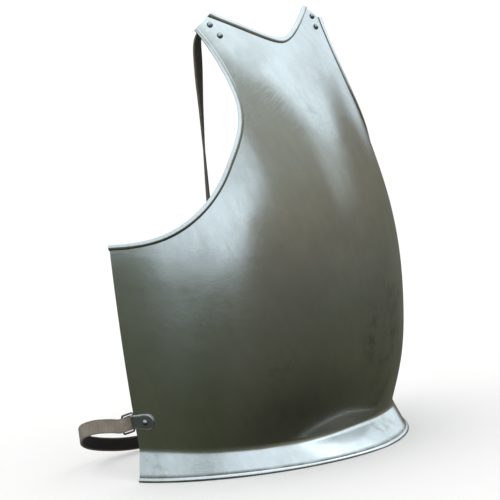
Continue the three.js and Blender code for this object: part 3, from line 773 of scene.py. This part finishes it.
def tab_stations():
    leaf = [0, 0.08, 0.2, 0.4, 0.7, 1.1, 1.6, 2.2, 3, 4, 5.2, 6.5, 8, 10.5, 13, 15.5, 18, 20.5, 23]
    sides = {1: [], -1: []}
    for side, stations in sides.items():
        for from_end in leaf:
            ahead = TAB["length"] - from_end
            point, normal, climb = side_place(ahead, SHEET_MIDDLE + side * LEAF_OFFSET, TAB["height"])
            waisted = mix(TAB["fold_half"], TAB["half"], smooth(ahead / TAB["rivet"]))
            half = float(min(round_end(TAB["half"], from_end), waisted))
            stations.append((point, climb, normal * side, half, TAB["sheet"]))
    fold = []
    for degrees in (80, 60, 40, 20, 0, -20, -40, -60, -80):
        angle = math.radians(degrees)
        behind = TAB["fold_back"] + FOLD_RADIUS * math.cos(angle)
        proud = SHEET_MIDDLE + FOLD_RADIUS * math.sin(angle)
        point, normal, climb = side_place(-behind, proud, TAB["height"])
        face = normal * math.sin(angle) + np.array([0, 1.0, 0]) * math.cos(angle)
        fold.append((point, climb, face, TAB["fold_half"], TAB["sheet"]))
    return sides[1] + fold + sides[-1][::-1]


def frame_path():
    """The wire's centre line at the wearer's left: the outer bar hangs a little lower."""
    inner, _, _ = side_place(-TAB["fold_back"], SHEET_MIDDLE, TAB["height"])
    length, half, corner = FRAME["length"], FRAME["half"], FRAME["corner"]
    path = []
    for back, up, start in ((0, half, 180), (length, half, 90), (length, -half, 0), (0, -half, -90)):
        centre_back = back + corner * (1 if back == 0 else -1)
        centre_up = up - corner * (1 if up > 0 else -1)
        for degrees in range(start, start - 91, -15):
            angle = math.radians(degrees)
            b = centre_back + corner * math.cos(angle)
            u = centre_up + corner * math.sin(angle)
            path.append((inner[0], inner[1] + b, TAB["height"] + u - FRAME["drop"] * b / length))
    dense = []
    for here, after in zip(path, path[1:] + path[:1]):
        here, after = np.array(here), np.array(after)
        steps = max(int(np.linalg.norm(after - here) / 1.2), 1)
        dense.extend(mix(here, after, s / steps) for s in range(steps))
    return dense


def make_wire(name, path, radius, mirror):
    """A round wire along a closed flat loop in the plane across X."""
    sides = 12
    flat = np.array([1.0, 0, 0])
    points = []
    for s, point in enumerate(path):
        along = unit(path[(s + 1) % len(path)] - path[s - 1])
        sideways = unit(np.cross(along, flat))
        for k in range(sides):
            angle = 2 * math.pi * k / sides
            points.append(point + sideways * radius * math.cos(angle) + flat * radius * math.sin(angle))
    count = len(path)
    faces = []
    for s in range(count):
        now, after = s * sides, (s + 1) % count * sides
        for k in range(sides):
            m = (k + 1) % sides
            faces.append([now + k, now + m, after + m, after + k])
    points = np.array(points)
    if mirror:
        points = mirrored(points)
    zero = np.zeros(len(points))
    return make_mesh(name, in_frame(points), faces, {"edge": zero, "fold": zero}, sharp=60)


# ---- waist strap ----------------------------------------------------------------------

WAIST_TAIL = [
    # back from the side edge, proud of the plate, height
    (-13, -5.6, 60.2),
    (-7, -5.7, 60),
    (-1, -5.6, 59.7),
    (4.5, -5, 59.1),
    (9, -2.6, 58.1),
    (12.5, 0.9, 57),
    (17, 2.5, 55.8),
    (22, 2.2, 55.4),
]

WAIST_SPAN_STEPS = 60
WAIST_STEPS = 260

WAIST_LOOP = [
    # x, y, height
    (-166.3, 30, 55.2),
    (-164.5, 54, 53.5),
    (-157, 80, 47),
    (-140, 102, 36),
    (-116, 116, 25),
    (-90, 120, 16.5),
    (-62, 113, 10.5),
    (-30, 103, 8.2),
    (10, 96, 7.8),
    (60, 88, 8.6),
    (105, 77, 15),
    (140, 60, 30),
    (160, 38, 46),
]


def flowing_line(places, per_span):
    """A smooth line through the places that keeps close to them where they crowd."""
    places = np.array(places, float)
    before = 2 * places[0] - places[1]
    after = 2 * places[-1] - places[-2]
    p = np.concatenate([[before], places, [after]])
    knots = np.sqrt(np.linalg.norm(np.diff(p, axis=0), axis=1))
    line = []
    for i in range(1, len(p) - 2):
        back, span, on = knots[i - 1], knots[i], knots[i + 1]
        leave = (p[i] - p[i - 1]) / back - (p[i + 1] - p[i - 1]) / (back + span) + (p[i + 1] - p[i]) / span
        reach = (p[i + 1] - p[i]) / span - (p[i + 2] - p[i]) / (span + on) + (p[i + 2] - p[i + 1]) / on
        t = (np.arange(per_span) / per_span)[:, None]
        leave, reach = leave * span, reach * span
        line.append(
            (2 * t ** 3 - 3 * t ** 2 + 1) * p[i] + (t ** 3 - 2 * t ** 2 + t) * leave
            + (3 * t ** 2 - 2 * t ** 3) * p[i + 1] + (t ** 3 - t ** 2) * reach
        )
    return np.concatenate(line + [places[-1:]])


def evenly(line, count):
    travel = np.concatenate([[0], np.cumsum(np.linalg.norm(np.diff(line, axis=0), axis=1))])
    even = np.linspace(0, travel[-1], count + 1)
    return np.stack([np.interp(even, travel, line[:, i]) for i in range(3)], -1)


def waist_stations():
    tail = []
    for back, proud, height in WAIST_TAIL:
        point, _, _ = side_place(-back, proud, TAB["height"])
        tail.append([point[0], point[1], height])
    tail = np.array(tail)
    places = np.concatenate([mirrored(tail), np.array(WAIST_LOOP, float), tail[::-1]])
    route = evenly(flowing_line(places, WAIST_SPAN_STEPS), WAIST_STEPS)
    along = unit(np.gradient(route, axis=0))
    up = np.array([0, 0, 1.0])
    face = unit(np.cross(up, along))
    across = unit(np.cross(along, face))
    return [(route[i], across[i], face[i], STRAP_WIDTH / 2, WAIST_THICK) for i in range(len(route))]


# ---- finishes -------------------------------------------------------------------------

def group(name, inputs, outputs):
    """An empty shader group with named sockets, and a shorthand for its nodes and links."""
    tree = bpy.data.node_groups.new(name, "ShaderNodeTree")
    for label, kind, value in inputs:
        socket = tree.interface.new_socket(label, in_out="INPUT", socket_type="NodeSocket" + kind)
        if value is not None:
            socket.default_value = value
    for label, kind in outputs:
        tree.interface.new_socket(label, in_out="OUTPUT", socket_type="NodeSocket" + kind)
    return Nodes(tree), tree.nodes.new("NodeGroupInput"), tree.nodes.new("NodeGroupOutput")


class Nodes:
    """Adds nodes to a tree and joins them."""

    def __init__(self, tree):
        self.tree = tree

    def add(self, kind, settings=None, **sockets):
        node = self.tree.nodes.new("ShaderNode" + kind)
        for key, value in (settings or {}).items():
            setattr(node, key, value)
        for key, value in sockets.items():
            self.feed(node, key.replace("_", " "), value)
        return node

    def feed(self, node, key, value):
        """Joins or sets one input; a key such as i2 is the input's number."""
        socket = node.inputs[int(key[1:])] if key[0] == "i" and key[1:].isdigit() else node.inputs[key]
        if isinstance(value, bpy.types.NodeSocket):
            self.tree.links.new(value, socket)
        else:
            socket.default_value = value

    def math(self, operation, a, b=0.5):
        return self.add("Math", {"operation": operation}, i0=a, i1=b).outputs[0]

    def place(self):
        return self.add("TexCoord").outputs["Object"]

    def mark(self, name):
        return self.add("Attribute", {"attribute_name": name}).outputs["Fac"]

    def noise(self, scale, detail=2.0, roughness=0.5, vector=None):
        place = self.place() if vector is None else vector
        node = self.add("TexNoise", Vector=place, Scale=scale, Detail=detail, Roughness=roughness)
        return node.outputs["Fac"]

    def ranged(self, value, low, high, to_low=0.0, to_high=1.0, shape="SMOOTHSTEP"):
        sockets = {"Value": value, "From Min": low, "From Max": high, "To Min": to_low, "To Max": to_high}
        node = self.add("MapRange", {"interpolation_type": shape})
        for key, given in sockets.items():
            self.feed(node, key, given)
        return node.outputs["Result"]

    def ranged_straight(self, *bounds):
        return self.ranged(*bounds, shape="LINEAR")

    def tinted(self, tone, tint):
        node = self.add("Mix", {"data_type": "RGBA", "blend_type": "MULTIPLY"}, i0=1.0)
        self.feed(node, "i6", tone)
        self.feed(node, "i7", tint)
        return node.outputs[2]

    def blend(self, share, first, second):
        node = self.add("Mix", {"data_type": "RGBA"})
        self.feed(node, "i0", share)
        self.feed(node, "i6", first)
        self.feed(node, "i7", second)
        return node.outputs[2]


def colour(red, green, blue):
    return (red, green, blue, 1.0)


def smudge_group():
    """Where polish has gone dull: soft clouds broken up by finer ones."""
    n, given, out = group(
        "dulled_polish",
        [("Size", "Float", 12.0), ("Spread", "Float", 0.5)],
        [("Mask", "Float")],
    )
    broad = n.noise(given.outputs["Size"], 3.0, 0.55)
    fine_size = n.math("MULTIPLY", given.outputs["Size"], 5.5)
    fine = n.noise(fine_size, 4.0, 0.6)
    both = n.math("ADD", n.math("MULTIPLY", broad, 0.7), n.math("MULTIPLY", fine, 0.3))
    edge = n.math("SUBTRACT", 0.72, n.math("MULTIPLY", given.outputs["Spread"], 0.3))
    mask = n.ranged(both, n.math("SUBTRACT", edge, 0.2), n.math("ADD", edge, 0.16))
    n.feed(out, "Mask", mask)
    return n.tree


def stain_group():
    """Sparse dark marks left by hands and damp, ragged at their edges."""
    n, given, out = group(
        "handling_stains",
        [("Size", "Float", 26.0), ("Amount", "Float", 0.5), ("Height", "Float", 0.2)],
        [("Mask", "Float")],
    )
    spots = n.noise(given.outputs["Size"], 5.0, 0.68)
    where = n.ranged(n.noise(7.0, 1.0, 0.5), 0.46, 0.62)
    mask = n.math("MULTIPLY", n.ranged(spots, 0.5, 0.72), where)
    rise = n.add("SeparateXYZ", Vector=n.place()).outputs["Z"]
    below = n.ranged(n.math("SUBTRACT", given.outputs["Height"], rise), 0.0, 0.06)
    mask = n.math("MULTIPLY", mask, below)
    n.feed(out, "Mask", n.math("MULTIPLY", mask, given.outputs["Amount"]))
    return n.tree


def cloud_group():
    """Broad soft clouds and finer brushed streaks in the polish, about 0.5 in the middle."""
    n, given, out = group(
        "brushed_clouds",
        [("Size", "Float", 14.0), ("Stretch", "Float", 7.0)],
        [("Value", "Float")],
    )
    turned = n.add("Mapping", {"vector_type": "POINT"}, Vector=n.place())
    turned.inputs["Rotation"].default_value = (0.3, math.radians(12), 0.2)
    parted = n.add("SeparateXYZ", Vector=turned.outputs[0])
    long_way = n.math("DIVIDE", parted.outputs["Z"], given.outputs["Stretch"])
    joined = n.add("CombineXYZ", X=parted.outputs["X"], Y=parted.outputs["Y"], Z=long_way)
    streaks = n.noise(n.math("MULTIPLY", given.outputs["Size"], 9.0), 4.0, 0.6, joined.outputs[0])
    clouds = n.noise(given.outputs["Size"], 4.0, 0.6)
    both = n.math("ADD", n.math("MULTIPLY", clouds, 0.62), n.math("MULTIPLY", streaks, 0.38))
    n.feed(out, "Value", n.ranged(both, 0.32, 0.68))
    return n.tree


def scratch_group():
    """Fine polishing lines that run two ways."""
    n, given, out = group(
        "polishing_lines",
        [("Fineness", "Float", 900.0), ("Stretch", "Float", 30.0)],
        [("Mask", "Float")],
    )
    lines = []
    for degrees in (24, -57):
        turned = n.add("Mapping", {"vector_type": "POINT"}, Vector=n.place())
        turned.inputs["Rotation"].default_value = (0, math.radians(degrees), 0)
        parted = n.add("SeparateXYZ", Vector=turned.outputs[0])
        long_way = n.math("DIVIDE", parted.outputs["X"], given.outputs["Stretch"])
        joined = n.add("CombineXYZ", X=long_way, Y=parted.outputs["Y"], Z=parted.outputs["Z"])
        lines.append(n.noise(given.outputs["Fineness"], 1.0, 0.5, joined.outputs[0]))
    both = n.math("MULTIPLY", lines[0], lines[1])
    n.feed(out, "Mask", n.ranged(both, 0.22, 0.42))
    return n.tree


def edge_group():
    """Bright worn edges, and painted shade where rolls meet their sheet and under rivet heads, read from the
    piece's marks.
    """
    n, given, out = group(
        "worn_edges_and_crevice_shade",
        [("Wear", "Float", 0.6), ("Dirt", "Float", 0.8)],
        [("Worn", "Float"), ("Dark", "Float")],
    )
    broken = n.noise(260.0, 3.0, 0.6)
    worn = n.math("MULTIPLY", n.mark("edge"), n.ranged(broken, 0.35, 0.6, 0.45, 1.0))
    n.feed(out, "Worn", n.math("MULTIPLY", worn, given.outputs["Wear"]))
    # Painted shade: the fold mark, broken up by noise, gives the crevice darkening.
    patch = n.noise(90.0, 2.0, 0.5)
    dark = n.math("MULTIPLY", n.mark("fold"), n.ranged(patch, 0.25, 0.6, 0.6, 1.0))
    n.feed(out, "Dark", n.math("MULTIPLY", dark, given.outputs["Dirt"]))
    return n.tree


def grain_group():
    """Leather grain: small cells with creases between them, broken by larger wrinkles."""
    n, given, out = group(
        "leather_grain",
        [("Fineness", "Float", 900.0), ("Wrinkles", "Float", 0.5)],
        [("Height", "Float"), ("Pores", "Float"), ("Patches", "Float")],
    )
    wobble = n.add("TexNoise", Vector=n.place(), Scale=300.0, Detail=2.0)
    bent = n.add("VectorMath", {"operation": "MULTIPLY_ADD"}, i0=wobble.outputs["Color"])
    bent.inputs[1].default_value = (0.0016, 0.0016, 0.0016)
    n.feed(bent, "i2", n.place())
    cells = n.add("TexVoronoi", {"feature": "DISTANCE_TO_EDGE"}, Vector=bent.outputs[0],
                  Scale=given.outputs["Fineness"])
    rounded = n.ranged(cells.outputs["Distance"], 0.0, 0.16)
    wrinkle = n.noise(140.0, 4.0, 0.65)
    height = n.math("ADD", rounded, n.math("MULTIPLY", wrinkle, given.outputs["Wrinkles"]))
    n.feed(out, "Height", height)
    n.feed(out, "Pores", n.math("SUBTRACT", 1.0, rounded))
    n.feed(out, "Patches", n.ranged(n.noise(45.0, 4.0, 0.6), 0.35, 0.65))
    return n.tree


SMUDGES = smudge_group()
STAINS = stain_group()
CLOUDS = cloud_group()
SCRATCHES = scratch_group()
EDGES = edge_group()
GRAIN = grain_group()


def new_finish(name):
    finish = bpy.data.materials.new(name)
    finish.use_nodes = True
    finish.node_tree.nodes.clear()
    n = Nodes(finish.node_tree)
    out = n.add("OutputMaterial")
    skin = n.add("BsdfPrincipled")
    n.feed(out, "Surface", skin.outputs[0])
    return finish, n, skin


def placed(n, tree, **sockets):
    node = n.add("Group")
    node.node_tree = tree
    for key, value in sockets.items():
        n.feed(node, key, value)
    return node.outputs


def steel_finish(name, look):
    """Polished steel: clear reflections, duller where handled, bright worn edges, painted shade in crevices.
    """
    finish, n, skin = new_finish(name)
    smudge = placed(n, SMUDGES, Size=look["smudge_size"], Spread=look["smudge_spread"])["Mask"]
    lines = placed(n, SCRATCHES, Fineness=look["line_fineness"], Stretch=26.0)["Mask"]
    edges = placed(n, EDGES, Wear=look["wear"], Dirt=look["dirt"])
    tone = n.blend(smudge, look["clean"], look["dull"])
    clouds = placed(n, CLOUDS, Size=look["cloud_size"], Stretch=7.0)["Value"]
    tone = n.blend(n.math("MULTIPLY", clouds, look["cloud_share"]), tone, look["cloud"])
    marks = placed(n, STAINS, Size=look["stain_size"], Amount=look["stains"], Height=look["stained_to"])
    tone = n.blend(marks["Mask"], tone, look["stain"])
    tone = n.blend(edges["Worn"], tone, look["bright"])
    # Painted shade: crevices under rolls and rivet heads are darkened.
    tone = n.blend(edges["Dark"], tone, look["fold"])
    n.feed(skin, "Base Color", tone)
    rough = n.ranged(smudge, 0.0, 1.0, look["rough"], look["rough_dull"])
    rough = n.math("ADD", rough, n.math("MULTIPLY", lines, look["line_rough"]))
    rough = n.math("ADD", rough, n.math("MULTIPLY", edges["Dark"], 0.3))
    rough = n.math("ADD", rough, n.math("MULTIPLY", clouds, look["cloud_rough"]))
    n.feed(skin, "Roughness", rough)
    metal = n.math("SUBTRACT", 1.0, n.math("MULTIPLY", edges["Dark"], 0.6))
    n.feed(skin, "Metallic", metal)
    fine = n.add("Bump", Strength=1.0, Distance=look["line_depth"], Height=lines)
    waves = n.noise(look["wave_size"], 2.0, 0.45)
    broad = n.add("Bump", Strength=1.0, Distance=look["wave_depth"], Height=waves, Normal=fine.outputs[0])
    n.feed(skin, "Normal", broad.outputs[0])
    return finish


def leather_finish(name, look):
    """Tanned leather: grained face, rubbed patches, raw cut edges."""
    finish, n, skin = new_finish(name)
    grain = placed(n, GRAIN, Fineness=look["fineness"], Wrinkles=look["wrinkles"])
    edges = placed(n, EDGES, Wear=look["wear"], Dirt=0.0)
    tone = n.blend(grain["Patches"], look["face"], look["rubbed"])
    tone = n.blend(n.math("MULTIPLY", grain["Pores"], look["pore_share"]), tone, look["pore"])
    # The flesh side: near-black painted shade on the waist strap, the leather's own colour on the shoulder
    # straps.
    tone = n.blend(n.mark("flesh_side_and_shade"), tone, look["flesh_side_and_shade"])
    tone = n.blend(edges["Worn"], tone, look["cut_edge"])
    n.feed(skin, "Base Color", tone)
    n.feed(skin, "Roughness", n.ranged(grain["Patches"], 0.0, 1.0, look["rough"], look["rough_rubbed"]))
    bump = n.add("Bump", Strength=0.8, Distance=look["depth"], Height=grain["Height"])
    n.feed(skin, "Normal", bump.outputs[0])
    return finish


# Painted shade, laid into the crevices where rolls meet the sheet and under rivet heads.
CREVICE_SHADE_TONE = colour(0.03, 0.028, 0.022)

plate_steel = steel_finish("polished_plate_steel", {
    "clean": colour(0.66, 0.68, 0.67),
    "dull": colour(0.50, 0.51, 0.49),
    "bright": colour(0.74, 0.75, 0.75),
    "fold": CREVICE_SHADE_TONE,
    "cloud": colour(0.47, 0.48, 0.46),
    "cloud_size": 13.0,
    "cloud_share": 0.5,
    "cloud_rough": 0.05,
    "stain": colour(0.2, 0.18, 0.14),
    "stain_size": 44.0,
    "stains": 0.5,
    "stained_to": 0.21,
    "smudge_size": 9.0,
    "smudge_spread": 0.3,
    "line_fineness": 1500.0,
    "line_rough": 0.05,
    "line_depth": 0.00002,
    "wear": 0.6,
    "dirt": 0.95,
    "rough": 0.13,
    "rough_dull": 0.2,
    "wave_size": 11.0,
    "wave_depth": 0.0007,
})

SMALL_STEEL = {
    "fold": CREVICE_SHADE_TONE,
    "cloud": colour(0.2, 0.2, 0.19),
    "cloud_size": 90.0,
    "cloud_share": 0.5,
    "cloud_rough": 0.06,
    "stain": colour(0.1, 0.08, 0.06),
    "stain_size": 180.0,
    "stains": 0.4,
    "stained_to": 1.0,
    "line_fineness": 2500.0,
}

rivet_steel = steel_finish("rivet_head_steel", {
    **SMALL_STEEL,
    "clean": colour(0.4, 0.42, 0.44),
    "dull": colour(0.28, 0.28, 0.28),
    "bright": colour(0.7, 0.71, 0.71),
    "smudge_size": 60.0,
    "smudge_spread": 0.5,
    "line_rough": 0.05,
    "line_depth": 0.00002,
    "wear": 0.35,
    "dirt": 0.9,
    "rough": 0.16,
    "rough_dull": 0.26,
    "wave_size": 120.0,
    "wave_depth": 0.0002,
})

fitting_steel = steel_finish("darkened_fitting_steel", {
    **SMALL_STEEL,
    "clean": colour(0.3, 0.31, 0.3),
    "dull": colour(0.14, 0.145, 0.135),
    "bright": colour(0.85, 0.86, 0.85),
    "smudge_size": 70.0,
    "smudge_spread": 0.7,
    "line_rough": 0.08,
    "line_depth": 0.00003,
    "wear": 0.8,
    "dirt": 0.8,
    "rough": 0.3,
    "rough_dull": 0.48,
    "wave_size": 90.0,
    "wave_depth": 0.0003,
})

shoulder_leather = leather_finish("dark_shoulder_leather", {
    "face": colour(0.062, 0.048, 0.034),
    "rubbed": colour(0.085, 0.068, 0.05),
    "pore": colour(0.02, 0.016, 0.012),
    "pore_share": 0.5,
    "flesh_side_and_shade": colour(0.05, 0.04, 0.03),
    "cut_edge": colour(0.12, 0.1, 0.075),
    "wear": 0.8,
    "fineness": 800.0,
    "wrinkles": 0.6,
    "depth": 0.00012,
    "rough": 0.62,
    "rough_rubbed": 0.5,
})

waist_leather = leather_finish("worn_waist_leather", {
    "face": colour(0.21, 0.18, 0.145),
    "rubbed": colour(0.28, 0.25, 0.21),
    "pore": colour(0.1, 0.08, 0.06),
    "pore_share": 0.6,
    # Painted shade: the flesh side is near-black, standing in for the shade on the strap's inner face.
    "flesh_side_and_shade": colour(0.011, 0.008, 0.006),
    "cut_edge": colour(0.13, 0.1, 0.075),
    "wear": 0.8,
    "fineness": 750.0,
    "wrinkles": 0.8,
    "depth": 0.00014,
    "rough": 0.68,
    "rough_rubbed": 0.55,
})


# ---- making the pieces ----------------------------------------------------------------

fitted(make_plate(), "breastplate", plate_steel)

strap_stations = shoulder_stations()
tab_places = tab_stations()
frame_places = frame_path()
shoulder_grip = SHEET + 2 * GAP + SHOULDER_THICK
leaf_top = SHEET_MIDDLE + LEAF_OFFSET + TAB["sheet"] / 2
tab_grip = SHEET + 4 * GAP + 2 * TAB["sheet"]

for side, sign in (("left", 1), ("right", -1)):
    flip = np.array([sign, 1, 1])
    for which, spot in SHOULDER_RIVETS.items():
        point, normal = on_surface(**spot)
        rivet = make_rivet(f"dome_rivet_{side}_{which}", point * flip, normal * flip, shoulder_grip)
        fitted(rivet, f"shoulder_rivet_{side}_{which}", rivet_steel)
    strap = make_strip(f"hanging_strap_{side}", strap_stations, STRAP_EDGE, sign < 0)
    fitted(strap, f"shoulder_strap_{side}", shoulder_leather)
    tab = make_strip(f"folded_tab_{side}", tab_places, TAB["edge"], sign < 0)
    fitted(tab, f"side_tab_{side}", fitting_steel)
    wire = make_wire(f"wire_frame_{side}", frame_places, FRAME["wire"], sign < 0)
    fitted(wire, f"buckle_frame_{side}", fitting_steel)
    point, normal, _ = side_place(TAB["rivet"], 0, TAB["height"])
    head_foot = (point + normal * leaf_top) * flip
    rivet = make_rivet(f"dome_rivet_{side}_tab", head_foot, normal * flip, tab_grip)
    fitted(rivet, f"tab_rivet_{side}", rivet_steel)

girdle = make_strip("girdle_strap", waist_stations(), STRAP_EDGE)
fitted(girdle, "waist_strap", waist_leather)


# ---- floor and light ------------------------------------------------------------------

FLOOR_REACH = 6
FLOOR_DROP = 0.0004       # keeps the floor clear of the rim's flat foot


def make_floor():
    mesh = bpy.data.meshes.new("floor")
    ways = ((-1, -1), (1, -1), (1, 1), (-1, 1))
    mesh.from_pydata([(x * FLOOR_REACH, y * FLOOR_REACH, 0) for x, y in ways], [], [(0, 1, 2, 3)])
    floor = bpy.data.objects.new("floor", mesh)
    bpy.context.collection.objects.link(floor)
    finish, _, skin = new_finish("pale_floor")
    skin.inputs["Base Color"].default_value = colour(0.93, 0.93, 0.92)
    skin.inputs["Roughness"].default_value = 0.9
    skin.inputs["Specular IOR Level"].default_value = 0.1
    floor.data.materials.append(finish)
    floor.location.z = -FLOOR_DROP
    floor.visible_glossy = False


SKY = [
    # compass degrees from the front towards the wearer's left, degrees above level at which
    # the sky opens, how softly it does, how bright it is
    (-180, 1, 3, 0.85),
    (-125, 1, 3, 0.9),
    (-100, -3, 3, 1.05),
    (-75, -2, 3, 1.08),
    (-52, 0, 3, 1.1),
    (-42, 6, 4, 1.15),
    (-36, 11.5, 3, 1.15),
    (-30, 15.5, 2.5, 1.15),
    (-20, 19.8, 2.5, 1.15),
    (-12, 22.5, 2.5, 1.1),
    (-7, 28, 3, 1.0),
    (5, 35, 3, 0.95),
    (22, 38, 3, 1.1),
    (29, 37, 3, 1.25),
    (36, 35.5, 2.5, 1.35),
    (42, 34, 3, 1.35),
    (46, 31, 3, 1.3),
    (50, 26, 3.5, 1.25),
    (54, 22.5, 4, 1.25),
    (58, 19.5, 4, 1.25),
    (63, 19.3, 2.5, 1.25),
    (67, 20.8, 2, 1.2),
    (72, 21.3, 2, 1.2),
    (80, 18.8, 2, 1.2),
    (85, 15.3, 2, 1.2),
    (88, 12.2, 2, 1.2),
    (95, 8, 3, 1.15),
    (103, 4.8, 2, 1.0),
    (112, 3.5, 3, 0.8),
    (180, 1, 4, 0.85),
]

SURROUND = [
    # degrees above level, then the colour of what stands around there
    (-60, 0.04, 0.041, 0.028),
    (-40, 0.052, 0.053, 0.036),
    (-25, 0.088, 0.09, 0.062),
    (-12, 0.115, 0.12, 0.092),
    (-4, 0.16, 0.162, 0.13),
    (5, 0.21, 0.2, 0.158),
    (16, 0.26, 0.25, 0.2),
    (30, 0.38, 0.4, 0.35),
]

PALE_WALL = {
    "compass": 51.0,
    "near": 4.0,              # degrees to each side up to which it is full
    "far": 11.0,              # and beyond which there is none
    "foot": 5.0,
    "top": 20.0,
    "tone": colour(0.5, 0.54, 0.52),
}

LEAFY = {"from": -50.0, "to": -85.0, "tint": colour(0.74, 0.82, 0.7)}
OVERHEAD = {"from": 32.0, "to": 60.0, "level": 1.4}
SKY_TONE = (0.92, 1.06, 1.15)
BACKDROP = {"foot": -10.0, "top": 70.0, "foot_level": 1.02, "top_level": 1.16}

OPENS_SPAN = 60           # the most that a sky's opening, softness or level may be,
SOFT_SPAN = 20            # by which the table is scaled to colours from 0 to 1
LEVEL_SPAN = 2


def fill_ramp(n, value, rows):
    """A straight ramp through rows of a share from 0 to 1 and a colour."""
    ramp = n.add("ValToRGB", i0=value)
    ramp.color_ramp.interpolation = "LINEAR"
    stops = ramp.color_ramp.elements
    stops.remove(stops[-1])
    for i, (place, tone) in enumerate(rows):
        stop = stops[0] if i == 0 else stops.new(place)
        stop.position = place
        stop.color = tone
    return ramp.outputs["Color"]


def make_light():
    """What the steel mirrors is a soft sky above a dim surround; all other light is pale and even."""
    world = bpy.data.worlds.new("studio")
    bpy.context.scene.world = world
    world.use_nodes = True
    world.node_tree.nodes.clear()
    n = Nodes(world.node_tree)
    way = n.add("SeparateXYZ", Vector=n.add("TexCoord").outputs["Generated"])
    turn = n.math("ARCTAN2", way.outputs["X"], n.math("MULTIPLY", way.outputs["Y"], -1.0))
    compass = n.math("DEGREES", turn)
    rise = n.math("DEGREES", n.math("ARCSINE", way.outputs["Z"]))
    share = n.ranged_straight(compass, -180.0, 180.0)
    rows = []
    for degrees, opens, soft, level in SKY:
        tone = colour(opens / OPENS_SPAN / 2 + 0.5, soft / SOFT_SPAN, level / LEVEL_SPAN)
        rows.append(((degrees + 180) / 360, tone))
    sky = n.add("SeparateColor", Color=fill_ramp(n, share, rows)).outputs
    opening = n.ranged_straight(sky["Red"], 0.0, 1.0, -OPENS_SPAN, OPENS_SPAN)
    soft = n.math("MULTIPLY", sky["Green"], float(SOFT_SPAN))
    above = n.math("DIVIDE", n.math("SUBTRACT", rise, opening), soft)
    sky_share = n.ranged(above, -1.0, 1.0)
    level = n.math("MULTIPLY", sky["Blue"], float(LEVEL_SPAN))
    lowest, highest = SURROUND[0][0], SURROUND[-1][0]
    rows = [((row[0] - lowest) / (highest - lowest), colour(*row[1:])) for row in SURROUND]
    surround = fill_ramp(n, n.ranged_straight(rise, lowest, highest), rows)
    overhead = n.ranged(rise, OVERHEAD["from"], OVERHEAD["to"], 1.0, OVERHEAD["level"])
    level = n.math("MULTIPLY", level, overhead)
    sky_tone = n.add("VectorMath", {"operation": "SCALE"}, i0=SKY_TONE, Scale=level).outputs[0]
    leafy = n.ranged(compass, LEAFY["from"], LEAFY["to"])
    surround = n.blend(leafy, surround, n.tinted(surround, LEAFY["tint"]))
    aside = n.math("ABSOLUTE", n.math("SUBTRACT", compass, PALE_WALL["compass"]))
    beside = n.ranged(aside, PALE_WALL["far"], PALE_WALL["near"])
    pale_wall = n.math("MULTIPLY", beside, n.ranged(rise, PALE_WALL["foot"], PALE_WALL["top"]))
    surround = n.blend(pale_wall, surround, PALE_WALL["tone"])
    around = n.blend(sky_share, surround, sky_tone)
    mirrored_ray = n.add("LightPath").outputs["Is Glossy Ray"]
    levels = (BACKDROP["foot_level"], BACKDROP["top_level"])
    pale = n.ranged(rise, BACKDROP["foot"], BACKDROP["top"], *levels)
    shown = n.blend(mirrored_ray, pale, around)
    back = n.add("Background", Color=shown, Strength=1.0)
    out = n.add("OutputWorld")
    n.feed(out, "Surface", back.outputs[0])


make_floor()
make_light()
bpy.context.scene.view_settings.view_transform = "Standard"
